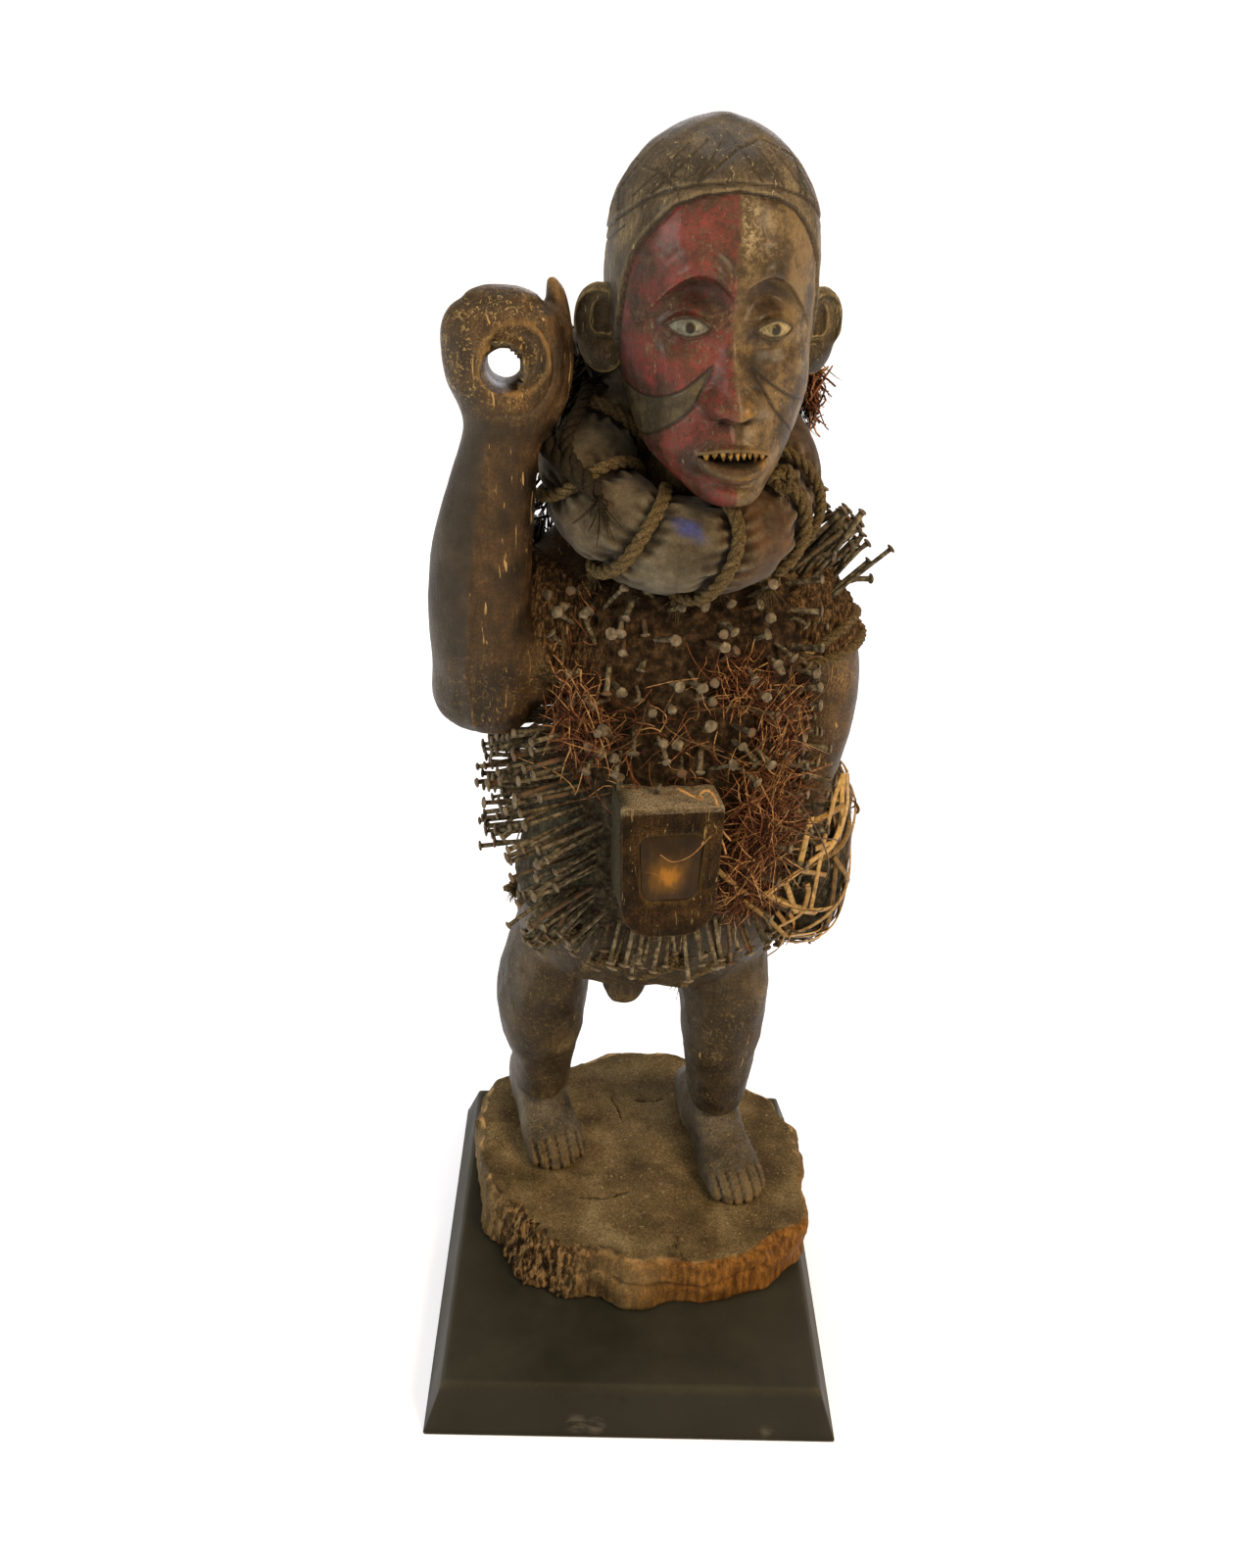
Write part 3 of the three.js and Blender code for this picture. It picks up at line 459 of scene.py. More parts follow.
headPlan = {
    "chin": 820, "height": 280, "shift": 9, "square": 2.25, "levels": 258, "turns": 222,
    "rows": [[0, 11, -92, -66], [0.02, 24, -104, -42], [0.07, 36, -108, -10], [0.16, 52, -108, 34],
             [0.27, 67, -105, 58], [0.375, 77, -103, 70], [0.48, 83, -102, 77], [0.59, 85, -103, 80],
             [0.7, 83, -101, 78], [0.8, 76, -93, 69], [0.89, 60, -77, 52], [0.945, 44, -61, 35],
             [0.98, 27, -46, 18],
             [1, 8, -30, 1]],
    "eye": (33.5, 139, 15, 6.6, 6.0),  # from the midline, above the chin, half-width, upper and lower lid
    "nose": 76, "mouth": 44, "mouthWidth": 25, "panelSink": 2.2, "cut": 1.5,
}
# Curves on the head as (degrees from the front, share of its height)
faceEdge = [(0, 0.828), (20, 0.816), (34, 0.79), (44, 0.745), (52, 0.703), (58, 0.658), (63, 0.594),
            (67, 0.524), (72, 0.469), (79, 0.42), (88, 0.36), (96, 0.3)]
bandEdge = [(0, 0.849), (23, 0.84), (42, 0.819), (54, 0.796), (69, 0.758), (86, 0.716), (120, 0.665),
            (180, 0.645)]
capCuts = [[(1, 0.924), (-23, 0.85)], [(1, 0.924), (12, 0.855)], [(1, 0.924), (-8, 0.962)],
           [(-23, 0.861), (-11, 0.936)], [(-92, 0.879), (-31, 0.85)], [(-57, 0.869), (-36, 0.831)],
           [(-40, 0.93), (-66, 0.8)], [(-25, 0.94), (-52, 0.81)], [(1, 0.924), (24, 0.95), (60, 0.9)],
           [(16, 0.925), (27, 0.845)], [(30, 0.93), (46, 0.82)], [(60, 0.93), (40, 0.83)],
           [(58, 0.9), (74, 0.77)], [(-75, 0.93), (-92, 0.75)], [(-112, 0.93), (-78, 0.76)],
           [(100, 0.93), (82, 0.75)], [(88, 0.9), (112, 0.7)], [(150, 0.93), (128, 0.7)],
           [(128, 0.92), (156, 0.69)], [(-130, 0.93), (-152, 0.69)], [(-150, 0.92), (-126, 0.7)],
           [(180, 0.94), (166, 0.68)], [(-178, 0.94), (-164, 0.68)]]
cheekLines = {"low": [(15, 112), (19, 103), (30, 80), (45, 60.5), (54, 46)],
              # from the midline, above the chin
              "high": [(15, 112), (28, 100), (39, 91), (52, 84), (63, 82), (74, 86)]}


def headSurface(share, degrees, grow=0):  # superellipse rings between the front and back profile
    rows = headPlan["rows"]
    t = np.linspace(0, 1, 2000)
    run = smoothRun(rows, t)
    at = np.interp(np.ravel(share), np.maximum.accumulate(run[:, 0]), t)
    size = smoothRun(rows, at).reshape(np.shape(share) + (4,))
    middle = size[..., 2] * 0.45 + size[..., 3] * 0.55
    facing, side = np.cos(np.radians(degrees)), np.sin(np.radians(degrees))
    depth = np.where(facing > 0, middle - size[..., 2], size[..., 3] - middle) + grow
    x = bend(side, headPlan["square"]) * (size[..., 1] + grow)
    y = middle - bend(facing, headPlan["square"]) * depth
    return np.stack([x, y, np.asarray(share) * headPlan["height"]], -1)


def curveOnHead(curve, steps=40, mirror=1):
    degrees, share = np.array(curve, float).T
    t = np.linspace(0, len(curve) - 1, steps)
    at = np.arange(len(curve))
    return headSurface(np.interp(t, at, share), mirror * np.interp(t, at, degrees))


def jawLean(shape):  # the jaw leans to one side and is fuller on the other
    share, x = shape[..., 2] / headPlan["height"], shape[..., 0]
    wide = np.where(x < 0, -15 * hill(share - 0.12, 0.12), 8 * hill(share - 0.3, 0.17)) * ramp(np.abs(x), 0, 58)
    shape = shape.copy()
    shape[..., 0] += 11 * ramp(0.46 - share, 0, 0.46) + wide
    return shape + [headPlan["shift"], 0, headPlan["chin"]]


def browLine(side):  # height of the brow's lower edge
    return 176 - 0.0235 * (side - 27) ** 2


def eyeDepth(x, z):  # inside the lids it is positive, and the second value is how far along the eye
    eyeX, eyeZ, eyeWide, lidUp, lidLow = headPlan["eye"]
    size = 1 + 0.08 * (x < 0)
    u = (np.abs(x) - eyeX) / (eyeWide * size)
    return np.minimum(eyeZ + lidUp * size * (1 - u * u) - z, z - eyeZ + lidLow * size * (1 - u * u)), u


def mouthDepth(x, z):  # positive inside the open mouth
    return np.minimum(51 - 0.0085 * x * x - z, z - 37.5 - 0.0125 * x * x)


# how far the face stands out, summed from bells, ramps and ridges; x from midline, z above chin
def faceRelief(x, z):
    side = np.abs(x)
    brow = browLine(side)
    made = 10.5 * ramp(z - brow, -2, 0.8) * (1 - 0.85 * ramp(z - brow, 2, 24)) * hill(side - 28, 27)
    made -= 12.5 * hill(z - brow + 12, 12) * hill(side - 30, 22)  # the socket under it
    made -= 4.5 * hill(side - 33, 21) * hill(z - 128, 9)
    made += 9 * hill(side - 33.5, 13.5) * hill(z - 139, 8.5)  # eyeball
    depth, u = eyeDepth(x, z)
    nearEye = 1 - ramp(np.abs(u), 0.95, 1.25)
    made += (2.8 * hill(depth + 1.5, 1.3) - 1.4 * hill(depth + 4.2, 1.3)) * nearEye
    made -= 1.3 * ramp(depth, -0.4, 0.9) * (np.abs(u) < 1)
    span = ramp(z, 72, 78) * (1 - ramp(z, 136, 178))
    made += (4 + 19 * ramp(140 - z, 0, 58)) * span * hill(x, 7.5 + 9.5 * ramp(140 - z, 0, 58))
    made += 11 * hill(side - 15.5, 6.8) * hill(z - 84, 8)  # wings of the nose
    made -= 3.2 * hill(np.hypot(side - 13.5, z - 86) - 11.5, 1.6) * ramp(z, 78, 88) * ramp(side, 12, 17)
    made -= 7 * hill(side - 9, 4.2) * hill(z - 75.5, 3)  # nostrils
    made += 10 * hill(x, 38) * hill(z - 49, 26)  # muzzle
    made -= 1.6 * hill(x, 3) * hill(z - 65, 8)
    mouth = mouthDepth(x, z)
    top, foot = 51 - 0.0085 * x * x, 37.5 + 0.0125 * x * x
    made += 3.8 * hill(z - top - 2, 2.2) * (1 - ramp(side, 20, 31))
    made += (8.5 * hill(z - foot + 6, 5.6) * (1 - ramp(side, 14, 30)) - 3 * hill(z - foot + 15, 3.5)
             * hill(x, 22))
    made -= 16 * ramp(mouth, -0.4, 2.2) * (side < 28)
    made -= 2.6 * hill(z - 22, 4) * hill(x, 24) - 6.5 * hill(x, 20) * hill(z - 13, 12)  # chin
    made += 5 * hill(side - 50, 17) * hill(z - 108, 20)  # cheeks
    return made


def buildHead():
    t = np.linspace(0, 1, 3000)
    run = smoothRun(headPlan["rows"], t)
    share = np.maximum.accumulate(run[:, 0])
    path = np.cumsum(np.hypot(np.gradient(share * 280), np.gradient(run[:, 1]))
                     * (1 + 0.7 * hill(share - 0.42, 0.3)))
    levels = np.interp(np.linspace(path[0], path[-1], headPlan["levels"]), path, share)
    turn = np.linspace(-180, 180, 3000)
    weight = np.cumsum(1 + 1.5 * hill(turn, 58))
    turns = np.interp(np.linspace(weight[0], weight[-1], headPlan["turns"] + 1)[:-1], weight, turn)
    share, degrees = np.meshgrid(np.clip(levels, 0.0015, 0.9985), turns, indexing="ij")
    shape = headSurface(share, degrees)
    x, z = shape[..., 0], shape[..., 2]
    facing = np.cos(np.radians(degrees))
    out = np.stack([np.sin(np.radians(degrees)), -facing, np.zeros_like(facing)], -1)
    skin = shape  # still smooth: the cuts, the noise and the paint are placed on it

    bandShare = np.interp(np.abs(degrees), *np.array(bandEdge, float).T)
    edgePath = [curveOnHead(faceEdge, 60, m) for m in (-1, 1)]
    bandPath = [curveOnHead(bandEdge, 90, m) for m in (-1, 1)]
    lowBand = [(a, s - 0.034) for a, s in bandEdge[4:]]
    side = np.abs(x)
    sideLimit = np.interp(share, *np.array(faceEdge[::-1]).T[::-1])
    sideLimit = np.where(share < 0.3, 96, sideLimit)
    inFace = ramp(sideLimit - np.abs(degrees), -1.2, 1.2) * (share < 0.83)

    relief = faceRelief(x, z) * ramp(facing, 0.05, 0.55)
    lift = -headPlan["panelSink"] * inFace * ramp(share, 0.28, 0.42)
    lift += 1.3 * ramp(share - bandShare, -0.004, 0.006) * (1 - ramp(share, 0.9, 0.99))
    edgeNear = lineDistance(skin, *edgePath)
    bandNear = lineDistance(skin, *bandPath, *[curveOnHead(lowBand, 60, m) for m in (-1, 1)])
    capNear = lineDistance(skin, *[curveOnHead(c, 14) for c in capCuts])
    lift -= 2.6 * hill(edgeNear, 1.5) * (share > 0.3) + 1.8 * hill(bandNear, 1.3) + 1.4 * hill(capNear, 1.1)

    cheekPaths = [smoothRun(np.array(cheekLines[k]), np.linspace(0, 1, 40)) for k in ("low", "high")]
    cheekNear = lineDistance(np.stack([side, z], -1), *cheekPaths)
    isFront = facing > 0.05
    relief -= headPlan["cut"] * hill(cheekNear, 1.25) * isFront
    low = np.interp(side, *cheekPaths[0].T, left=400, right=46)
    high = np.interp(side, *cheekPaths[1].T, left=-400, right=86)
    inCheek = ramp(z - low, -1, 1) * ramp(high - z, -1, 1) * isFront * inFace
    relief -= 0.9 * inCheek

    hand = layered(skin, 26, 5) * 0.8 + layered(skin, 7, 9, 2) * 0.28
    knife = (nearestCell(skin * [1, 1, 0.7], 13, 3) - 0.5) * 0.9 * (1 - 0.7 * inFace)
    lift += hand + knife
    shape = shape + out * lift[..., None]
    shape[..., 1] -= relief
    shape = jawLean(shape)
    crown = shape[-1].mean(0)
    dome = [crown + (shape[-1] - crown) * s + [0, 0, 1.6 * (1 - s * s)] for s in (0.8, 0.6, 0.35, 0.12)]
    head = makePiece("carved_head", closedLoft(np.concatenate([shape, dome])))

    rough = layered(skin, 9, 21)
    depth, u = eyeDepth(x, z)
    depth = depth + 0.5 * rough
    inEye = ramp(depth, 0.2, 1.2) * (np.abs(u) < 1) * isFront
    eyeLine = hill(depth + 0.3, 1.1) * (np.abs(u) < 1.15) * isFront
    pupil = 1 - ramp(np.hypot(side - 33.5, (z - 139.3) * 0.9) + 0.6 * rough, 2.9, 4.2)
    left = ramp(-x + 0.8 * rough, -1, 1)
    top, foot = 51 - 0.0085 * x * x, 37.5 + 0.0125 * x * x
    inMouth = ramp(mouthDepth(x, z), -0.4, 1.5) * (side < 28) * isFront
    upperLip = hill(z - top - 1.6, 1.7) * (side < 27) * isFront
    lowerLip = hill(z - foot + 5.5, 5) * (1 - ramp(side, 14, 27)) * isFront
    dabs = (hill(x - 9, 9) * hill(z - foot + 7, 3) + 0.8 * hill(x - 21, 4) * hill(z - foot + 3, 3)
            + 0.7 * upperLip)
    skinArea = inFace * (1 - inCheek) * isFront * ramp(z + 0.5 * side, 2, 12)
    brow = browLine(side)
    # the socket under the brow is darkened: painted shade
    socket = ramp(brow - z, 0, 7) * ramp(z - 147 - 0.1 * side, -2, 6) * hill(side - 30, 24)
    mottle = layered(skin, 17, 23)
    # pale flecks on the forehead, and a pale patch on the cheek's outer edge that is a painted highlight
    creamFlecksAndHighlight = (hill(x - 9, 8) * ramp(z, 186, 210) + 0.55 * hill(side - 60, 8) * hill(z - 122, 28)
              + 0.5 * hill(x - 20, 18) * hill(z - 196, 16))
    masks = {
        "redPaint": skinArea * left * (1 - inEye) * (1 - inMouth) * (1 - 0.9 * lowerLip) * (1 - upperLip),
        "palePaint": inFace * (1 - left) * isFront * (1 - inMouth),
        "cream": (1 - left) * inFace * isFront * np.clip(creamFlecksAndHighlight + 0.35 * mottle - 0.08, 0, 1),
        "cheekPanel": inCheek * left,
        "lip": np.clip(lowerLip + 0.5 * upperLip, 0, 1),
        "ochre": np.clip(hill(x - 7, 4.5) * hill(z - 84, 8) + dabs, 0, 1) * isFront,
        "soot": np.clip(0.9 * socket * (0.7 + 0.3 * mottle), 0, 1) * isFront,
        "eyeWhite": inEye * (1 - pupil) * left,
        "eyeCream": inEye * (1 - pupil) * (1 - left),
        # the near-black inside the open mouth and in the nostrils is painted shade; the pupils and the rims of
        # the eyes are dark paint
        "dark": np.clip(inMouth + 0.9 * eyeLine + inEye * pupil + hill(side - 9, 4) * hill(z - 74.5, 3.2), 0, 1)
        * isFront,
        "groove": np.clip(hill(edgeNear, 1.3) * (share > 0.3) + hill(bandNear, 1.1) + 0.8 * hill(capNear, 0.9)
                          + hill(cheekNear, 1.1) * isFront, 0, 1),
    }
    for name, values in masks.items():
        addMask(head, name, values)
    addWear(head)
    return head


paintedWood = dict(limbWood, blotch=34, grain=2.4, grit=1.5, nick=2.6, nickFrom=0.66, streaks=0.75, bump=0.9,
                   tones=[(0.36, "#2b2418"), (0.46, "#483d2b"), (0.56, "#665740"), (0.66, "#867556")],
                   dust="#6d6248", worn="#6f6145", raw="#958764", rough=(0.45, 0.66), shine=0.34)


def paintedHeadMaterial():
    # The same hardwood under thin worn pigment: red earth on one half, pale clay on the other, kaolin eyes.
    material, tree, shader, (wood, _, _, patch, flake) = carvedWood("painted hardwood head", paintedWood,
                                                                    (30, 8, 0.7, 0), (260, 5, 0.66, 0.8))
    layers = [  # mask, colour ramp, how much of it has worn through, softness
        ("palePaint", [(0.4, "#211609"), (0.48, "#44321c"), (0.57, "#715c3b")], 0.42, 0.14),
        ("cream", [(0.4, "#776848"), (0.62, "#a89a76")], 0.54, 0.07),
        ("redPaint", [(0.41, "#2a1712"), (0.48, "#46201b"), (0.54, "#5f2422"), (0.64, "#74302c")], 0.43, 0.1),
        ("cheekPanel", [(0.4, "#272215"), (0.6, "#544a33")], 0.36, 0.12),
        ("lip", [(0.38, "#33271a"), (0.6, "#57462d")], 0.36, 0.12),
        ("soot", [(0.4, "#120a08"), (0.65, "#2a1814")], 0.3, 0.14),
        ("ochre", [(0.4, "#60441c"), (0.65, "#9a6f2c")], 0.46, 0.08),
        ("eyeWhite", [(0.38, "#4f4e42"), (0.62, "#8e8d7c")], 0.42, 0.08),
        ("eyeCream", [(0.4, "#6f6240"), (0.6, "#a8996c")], 0.42, 0.08),
        ("dark", [(0.4, "#0b0806"), (0.7, "#1c140e")], 0.2, 0.1),
        ("groove", [(0.4, "#0d0a07"), (0.7, "#1b140e")], 0.25, 0.1),
    ]
    colour = layColours(tree, wood, *(((patch, tones), flake, (worn - soft, worn + soft), name)
                                      for name, tones, worn, soft in layers))
    plain = shader.inputs["Roughness"].links[0].from_socket
    red = addNode(tree, "Attribute", {}, output="Fac", attribute_name="redPaint")
    whole = addNode(tree, "MapRange", {"Value": flake, "From Min": 0.33, "From Max": 0.53})
    red = addNode(tree, "Math", {0: red, 1: whole}, operation="MULTIPLY")
    sheen = addNode(tree, "MapRange", {"Value": flake, "From Min": 0.35, "From Max": 0.65, "To Min": 0.16,
                                       "To Max": 0.46})
    gloss = addNode(tree, "Mix", {0: red, 2: plain, 3: sheen})
    # oil rubbed over it all
    setInputs(tree, shader, {"Base Color": colour, "Roughness": gloss, "Coat Weight": 0.16,
                             "Coat Roughness": 0.28})
    return material


finished(buildHead(), paintedHeadMaterial(), ["figure"])
print("head carved and painted")


teethPlan = {"count": 9, "reach": 20, "length": 9, "width": 2.4}


# a row of filed points hung along the upper lip's curve: four-sided wedges with bent tips
def buildTeeth(plan):
    places = np.linspace(-1, 1, plan["count"])
    rng = np.random.default_rng(4)
    shapes = []
    for s in places:
        x = s * plan["reach"]
        y = -116.5 + 0.0145 * x * x
        top = 52.5 - 0.0085 * x * x
        length = plan["length"] * (1 - 0.25 * abs(s)) * rng.uniform(0.8, 1.15)
        width = plan["width"] * rng.uniform(0.85, 1.1)
        t = np.linspace(0, 1, 6)[:, None]
        angle = np.linspace(0, 2 * np.pi, 9)[:-1][None, :]
        taper = 1 - 0.82 * t**1.4
        ring = np.stack([x + width * taper * bend(np.cos(angle), 3) + rng.uniform(-0.8, 0.8) * t * t,
                         y + 1.8 * taper * bend(-np.sin(angle), 3) + 1.2 * t,
                         top - length * t + 0 * angle], -1)
        shapes.append(closedLoft(ring))
    points, faces = joined(*shapes)
    return jawLean(points), faces


boneLook = {"tones": [(0.35, "#3b2814"), (0.5, "#80602f"), (0.68, "#b08f52")]}


def stainedTeethMaterial(look):
    # Carved wooden teeth rubbed with ochre: matt.
    material, tree, shader, (_, spots) = startMaterial("ochre-rubbed teeth", (260, 4, 0.5, 0))
    setInputs(tree, shader, {"Base Color": layColours(tree, (spots, look["tones"])), "Roughness": 0.6})
    return material


finished(makePiece("filed_teeth", buildTeeth(teethPlan)), stainedTeethMaterial(boneLook))


earPlan = {"out": {-1: 86, 1: 93}, "back": -6, "up": 942, "turn": 32, "half": 35, "wide": 25}


def buildEar(side, plan):  # polar grid over both faces: rim raised at nine tenths, long bowl sunk inside it
    ring = np.linspace(0, 1, 36)
    angle = np.linspace(0, 2 * np.pi, 77)[:-1]
    r, a = np.meshgrid(ring, angle, indexing="ij")
    wide = plan["wide"] * (1 + 0.12 * np.sin(a))
    x, z = r * wide * bend(np.cos(a), 2.3), r * plan["half"] * bend(np.sin(a), 2.2)
    rim = 5.5 * hill(r - 0.86, 0.11) * ramp(z, -14, 0)
    inner = 3 * hill(np.hypot((x + 1.5 * side) / 11, (z - 8) / 15) - 1, 0.2) * ramp(z, -9, 1)
    bowl = 9 * hill(np.hypot((x - 1 * side) / 12, (z - 9) / 17), 0.8)
    lobe = 4.5 * hill(np.hypot(x / 17, (z + 19) / 11), 0.8)
    notch = 3 * hill(z + 6, 1.5) * ramp(-x * side, -10, 2)
    front = -(5 * np.sqrt(np.maximum(1 - r**4, 0)) + rim + inner + lobe) + bowl + notch
    back = 5.5 * np.sqrt(np.maximum(1 - r**4, 0)) + 0 * x
    shell = np.stack([x, back, z], -1)
    face = np.stack([x, front, z], -1)
    rings = np.concatenate([shell[1:-1], face[1:][::-1]])
    rough = layered(rings.reshape(-1, 3) + 300 * side, 9, 31).reshape(rings.shape[:2])
    rings = rings + unit(rings * [1, 2, 1]) * (0.55 * rough)[..., None]
    points, faces = closedLoft(rings)
    turn = side * math.radians(plan["turn"])
    x, y, z = points.T
    placed = np.stack([x * math.cos(turn) - y * math.sin(turn), x * math.sin(turn) + y * math.cos(turn), z], -1)
    return placed + [headPlan["shift"] + side * plan["out"][side], plan["back"], plan["up"]], faces


ears = makePiece("ears", joined(buildEar(-1, earPlan), buildEar(1, earPlan)))
addWear(ears)
finished(ears, carvedWood("dusty hardwood", dict(paintedWood, worn="#8d7a4e"))[0])
print("ears and teeth")


# Trunk, limbs, feet and log base: the CAD's tables of [x, y, z, half-width, half-depth]

trunk = [[-8, 30, 270, 30, 24], [-6, 28, 283, 74, 50], [0, 24, 306, 121, 74], [0, 16, 346, 143, 92],
         [0, 8, 410, 141, 98], [0, 2, 480, 126, 102], [0, -2, 550, 115, 104], [0, 2, 620, 114, 98],
         [0, 8, 680, 120, 88], [0, 14, 724, 112, 72], [0, 14, 752, 82, 58], [2, 8, 786, 52, 48],
         [5, 0, 830, 45, 44], [8, -6, 880, 44, 46]]
loinPart = [[-33, -14, 248, 12, 8], [-33, -13, 256, 20, 14], [-32, -8, 274, 25, 20], [-28, 6, 304, 24, 22]]
raisedUpperArm = [[-78, 16, 740, 44, 44], [-104, 6, 710, 48, 46], [-132, -6, 668, 48, 46],
                  [-152, -20, 634, 42, 42], [-158, -26, 618, 28, 28]]
forearm = [[-182, -28, 614, 38, 30], [-181, -29, 618, 45, 42], [-178, -30, 632, 47, 46],
           [-178, -32, 665, 46, 46], [-181, -34, 715, 45, 44], [-178, -36, 770, 42, 40],
           [-169, -38, 820, 36, 34], [-162, -41, 860, 32, 28], [-158, -43, 885, 38, 29],
           [-158, -44, 912, 48, 31], [-160, -44, 940, 49, 32], [-161, -44, 958, 44, 28],
           [-161, -44, 968, 31, 21]]
finger = [[-134, -40, 864, 6, 10], [-127, -37, 876, 10, 17], [-120, -34, 892, 12, 20], [-116, -34, 915, 12, 22],
          [-115, -33, 945, 10, 18], [-118, -32, 970, 8, 12],          [-122, -31, 982, 4, 5]]
hipArm = [[80, 14, 716, 42, 44], [106, 12, 698, 45, 46], [130, 10, 668, 43, 45], [146, 8, 632, 38, 43],
          [149, 2, 590, 35, 39], [146, -8, 546, 29, 33], [138, -26, 512, 22, 24], [126, -44, 488, 22, 20],
          [112, -54, 474, 18, 16]]
leftLeg = [[-88, 30, 340, 46, 56], [-109, 30, 285, 47, 57], [-116, 32, 237, 50, 52], [-117, 30, 195, 46, 45],
           [-114, 44, 155, 39, 39], [-113, 54, 112, 34, 36], [-113, 60, 76, 31, 33], [-113, 62, 64, 17, 18]]
rightLeg = [[66, 28, 340, 52, 56], [77, 22, 285, 53, 58], [84, 12, 237, 50, 50], [85, 4, 195, 46, 44],
            [86, 6, 155, 41, 39], [87, 10, 112, 36, 36], [88, 12, 76, 31, 33], [88, 14, 64, 17, 18]]
leftFoot = [[-126, 148, 18, 8, 14], [-124, 138, 24, 22, 26], [-119, 108, 32, 28, 40], [-113, 74, 34, 30, 40],
            [-107, 44, 20, 33, 24], [-101, 12, 12, 35, 16], [-98, -8, 8, 31, 11], [-97, -14, 6, 20, 6]]
rightFoot = [[74, 92, 18, 8, 14], [76, 82, 24, 22, 26], [82, 50, 32, 28, 40], [88, 14, 34, 30, 40],
             [94, -20, 20, 33, 24], [100, -59, 12, 35, 16], [104, -81, 8, 31, 11], [105, -88, 6, 20, 6]]


# an oval section carried along the rows
def limbRings(rows, sides=48, steps=60, grow=0, square=2.2, span=(0, 1)):
    run = smoothRun(rows, np.linspace(*span, steps))
    place, wide, deep = run[:, None, :3], run[:, None, 3:4] + grow, run[:, None, 4:5] + grow
    along = unit(np.gradient(run[:, :3], axis=0))[:, None]
    across = unit(np.array([1.0, 0, 0]) - along * along[..., :1])
    behind = np.cross(along, across)
    angle = (2 * np.pi * (np.arange(sides) + 0.5) / sides)[None, :, None]
    return place + across * wide * bend(np.cos(angle), square) + behind * deep * bend(np.sin(angle), square)


def limb(rows, **settings):  # each end is closed by a low dome
    rings = limbRings(rows, **settings)
    low, high = rings[0].mean(0), rings[-1].mean(0)
    down, up = unit(low - rings[1].mean(0)), unit(high - rings[-2].mean(0))
    rise = [0.42 * np.linalg.norm(ring - middle, axis=1).mean()
            for ring, middle in ((rings[0], low), (rings[-1], high))]
    shares = (0.88, 0.65, 0.38, 0.12)
    foot = [low + (rings[0] - low) * s + down * rise[0] * math.sqrt(1 - s * s) for s in shares[::-1]]
    head = [high + (rings[-1] - high) * s + up * rise[1] * math.sqrt(1 - s * s) for s in shares]
    return closedLoft(np.concatenate([foot, rings, head]))


def fused(name, shapes, voxel, softness):  # overlapping closed forms become one skin
    return applied(makePiece(name, joined(*shapes)), ("REMESH", {"mode": "VOXEL", "voxel_size": voxel / 1000}),
                   ("SMOOTH", {"factor": 0.5, "iterations": softness}))


def fromWorld(points):  # scene millimetres back to the carver's
    yaw = math.radians(figurePlace["yaw"])
    x, y, z = (points - [figurePlace["x"], figurePlace["y"], figurePlace["z"]]).T
    return np.stack([x * math.cos(yaw) + y * math.sin(yaw), y * math.cos(yaw) - x * math.sin(yaw), z], -1)


# shallow scoops of the blade over each cell, and a little roughness
def whittled(thing, facet, depth, extra=None):
    places, normals = readMesh(thing)
    own = fromWorld(places)
    lift = (nearestCell(own * [1, 1, 0.6], facet, 11) - 0.45) * depth
    lift += 0.35 * layered(own, 22, 13) + 0.14 * layered(own * [1, 1, 0.3], 4, 17, 2)
    if extra is not None:
        lift += extra(own)
    writePlaces(thing, places + normals * lift[:, None])
    addWear(thing)
    return thing


def kneeMarks(own):  # a small step under each kneecap
    knees = [[(-150, 8, 152), (-128, 2, 148), (-106, 2, 147), (-84, 12, 152)],
             [(58, -36, 150), (76, -40, 145), (98, -40, 146), (116, -28, 152)]]
    return -3.2 * hill(lineDistance(own, *knees), 2.6)


legs = fused("hips_and_legs", [limb(trunk, span=(0, 4.7 / 13), sides=80), limb(loinPart, steps=30),
                               limb(leftLeg),
                               limb(rightLeg)], 3.8, 5)
whittled(legs, 22, 3.4, kneeMarks)


# the painted window reflection: the side turned to the window, painted blue-grey; ochre: rubbed spots (place,
# size); nicked
def skinMasks(thing, ochre, cool=0.0):
    places, normals = readMesh(thing)
    own = fromWorld(places)
    rough = layered(own, 14, 35)
    spots = sum(hill(np.linalg.norm(own - spot, axis=1) + 5 * rough, size) for spot, size in ochre)
    addMask(thing, "cool", cool * ramp(-normals[:, 0] + 0.3 * rough, 0.25, 0.8))
    addMask(thing, "ochre", np.clip(spots, 0, 1))
    addMask(thing, "nicked", np.full(len(own), 0.3))


def handledWood(name, look):
    # Oiled hardwood, glossier where hands have rubbed it, scratched to ochre in places, and painted blue-black
    # on the side turned to the window as a painted reflection of it.
    material, tree, shader, (wood, blotch, _, scratch) = carvedWood(name, look, (210, 6, 0.7, 1.6))
    colour = layColours(tree, wood, ((blotch, look["cool"]), "cool"),
                        ("#8a7345", scratch, (0.56, 0.6), "nicked"),
                        (look["bare"], scratch, (0.42, 0.58), "ochre"))
    plain = shader.inputs["Roughness"].links[0].from_socket
    cool = addNode(tree, "Attribute", {}, output="Fac", attribute_name="cool")
    gloss = addNode(tree, "Mix", {0: cool, 2: plain, 3: look["coolRough"]})
    setInputs(tree, shader, {"Base Color": colour, "Roughness": gloss})
    return material


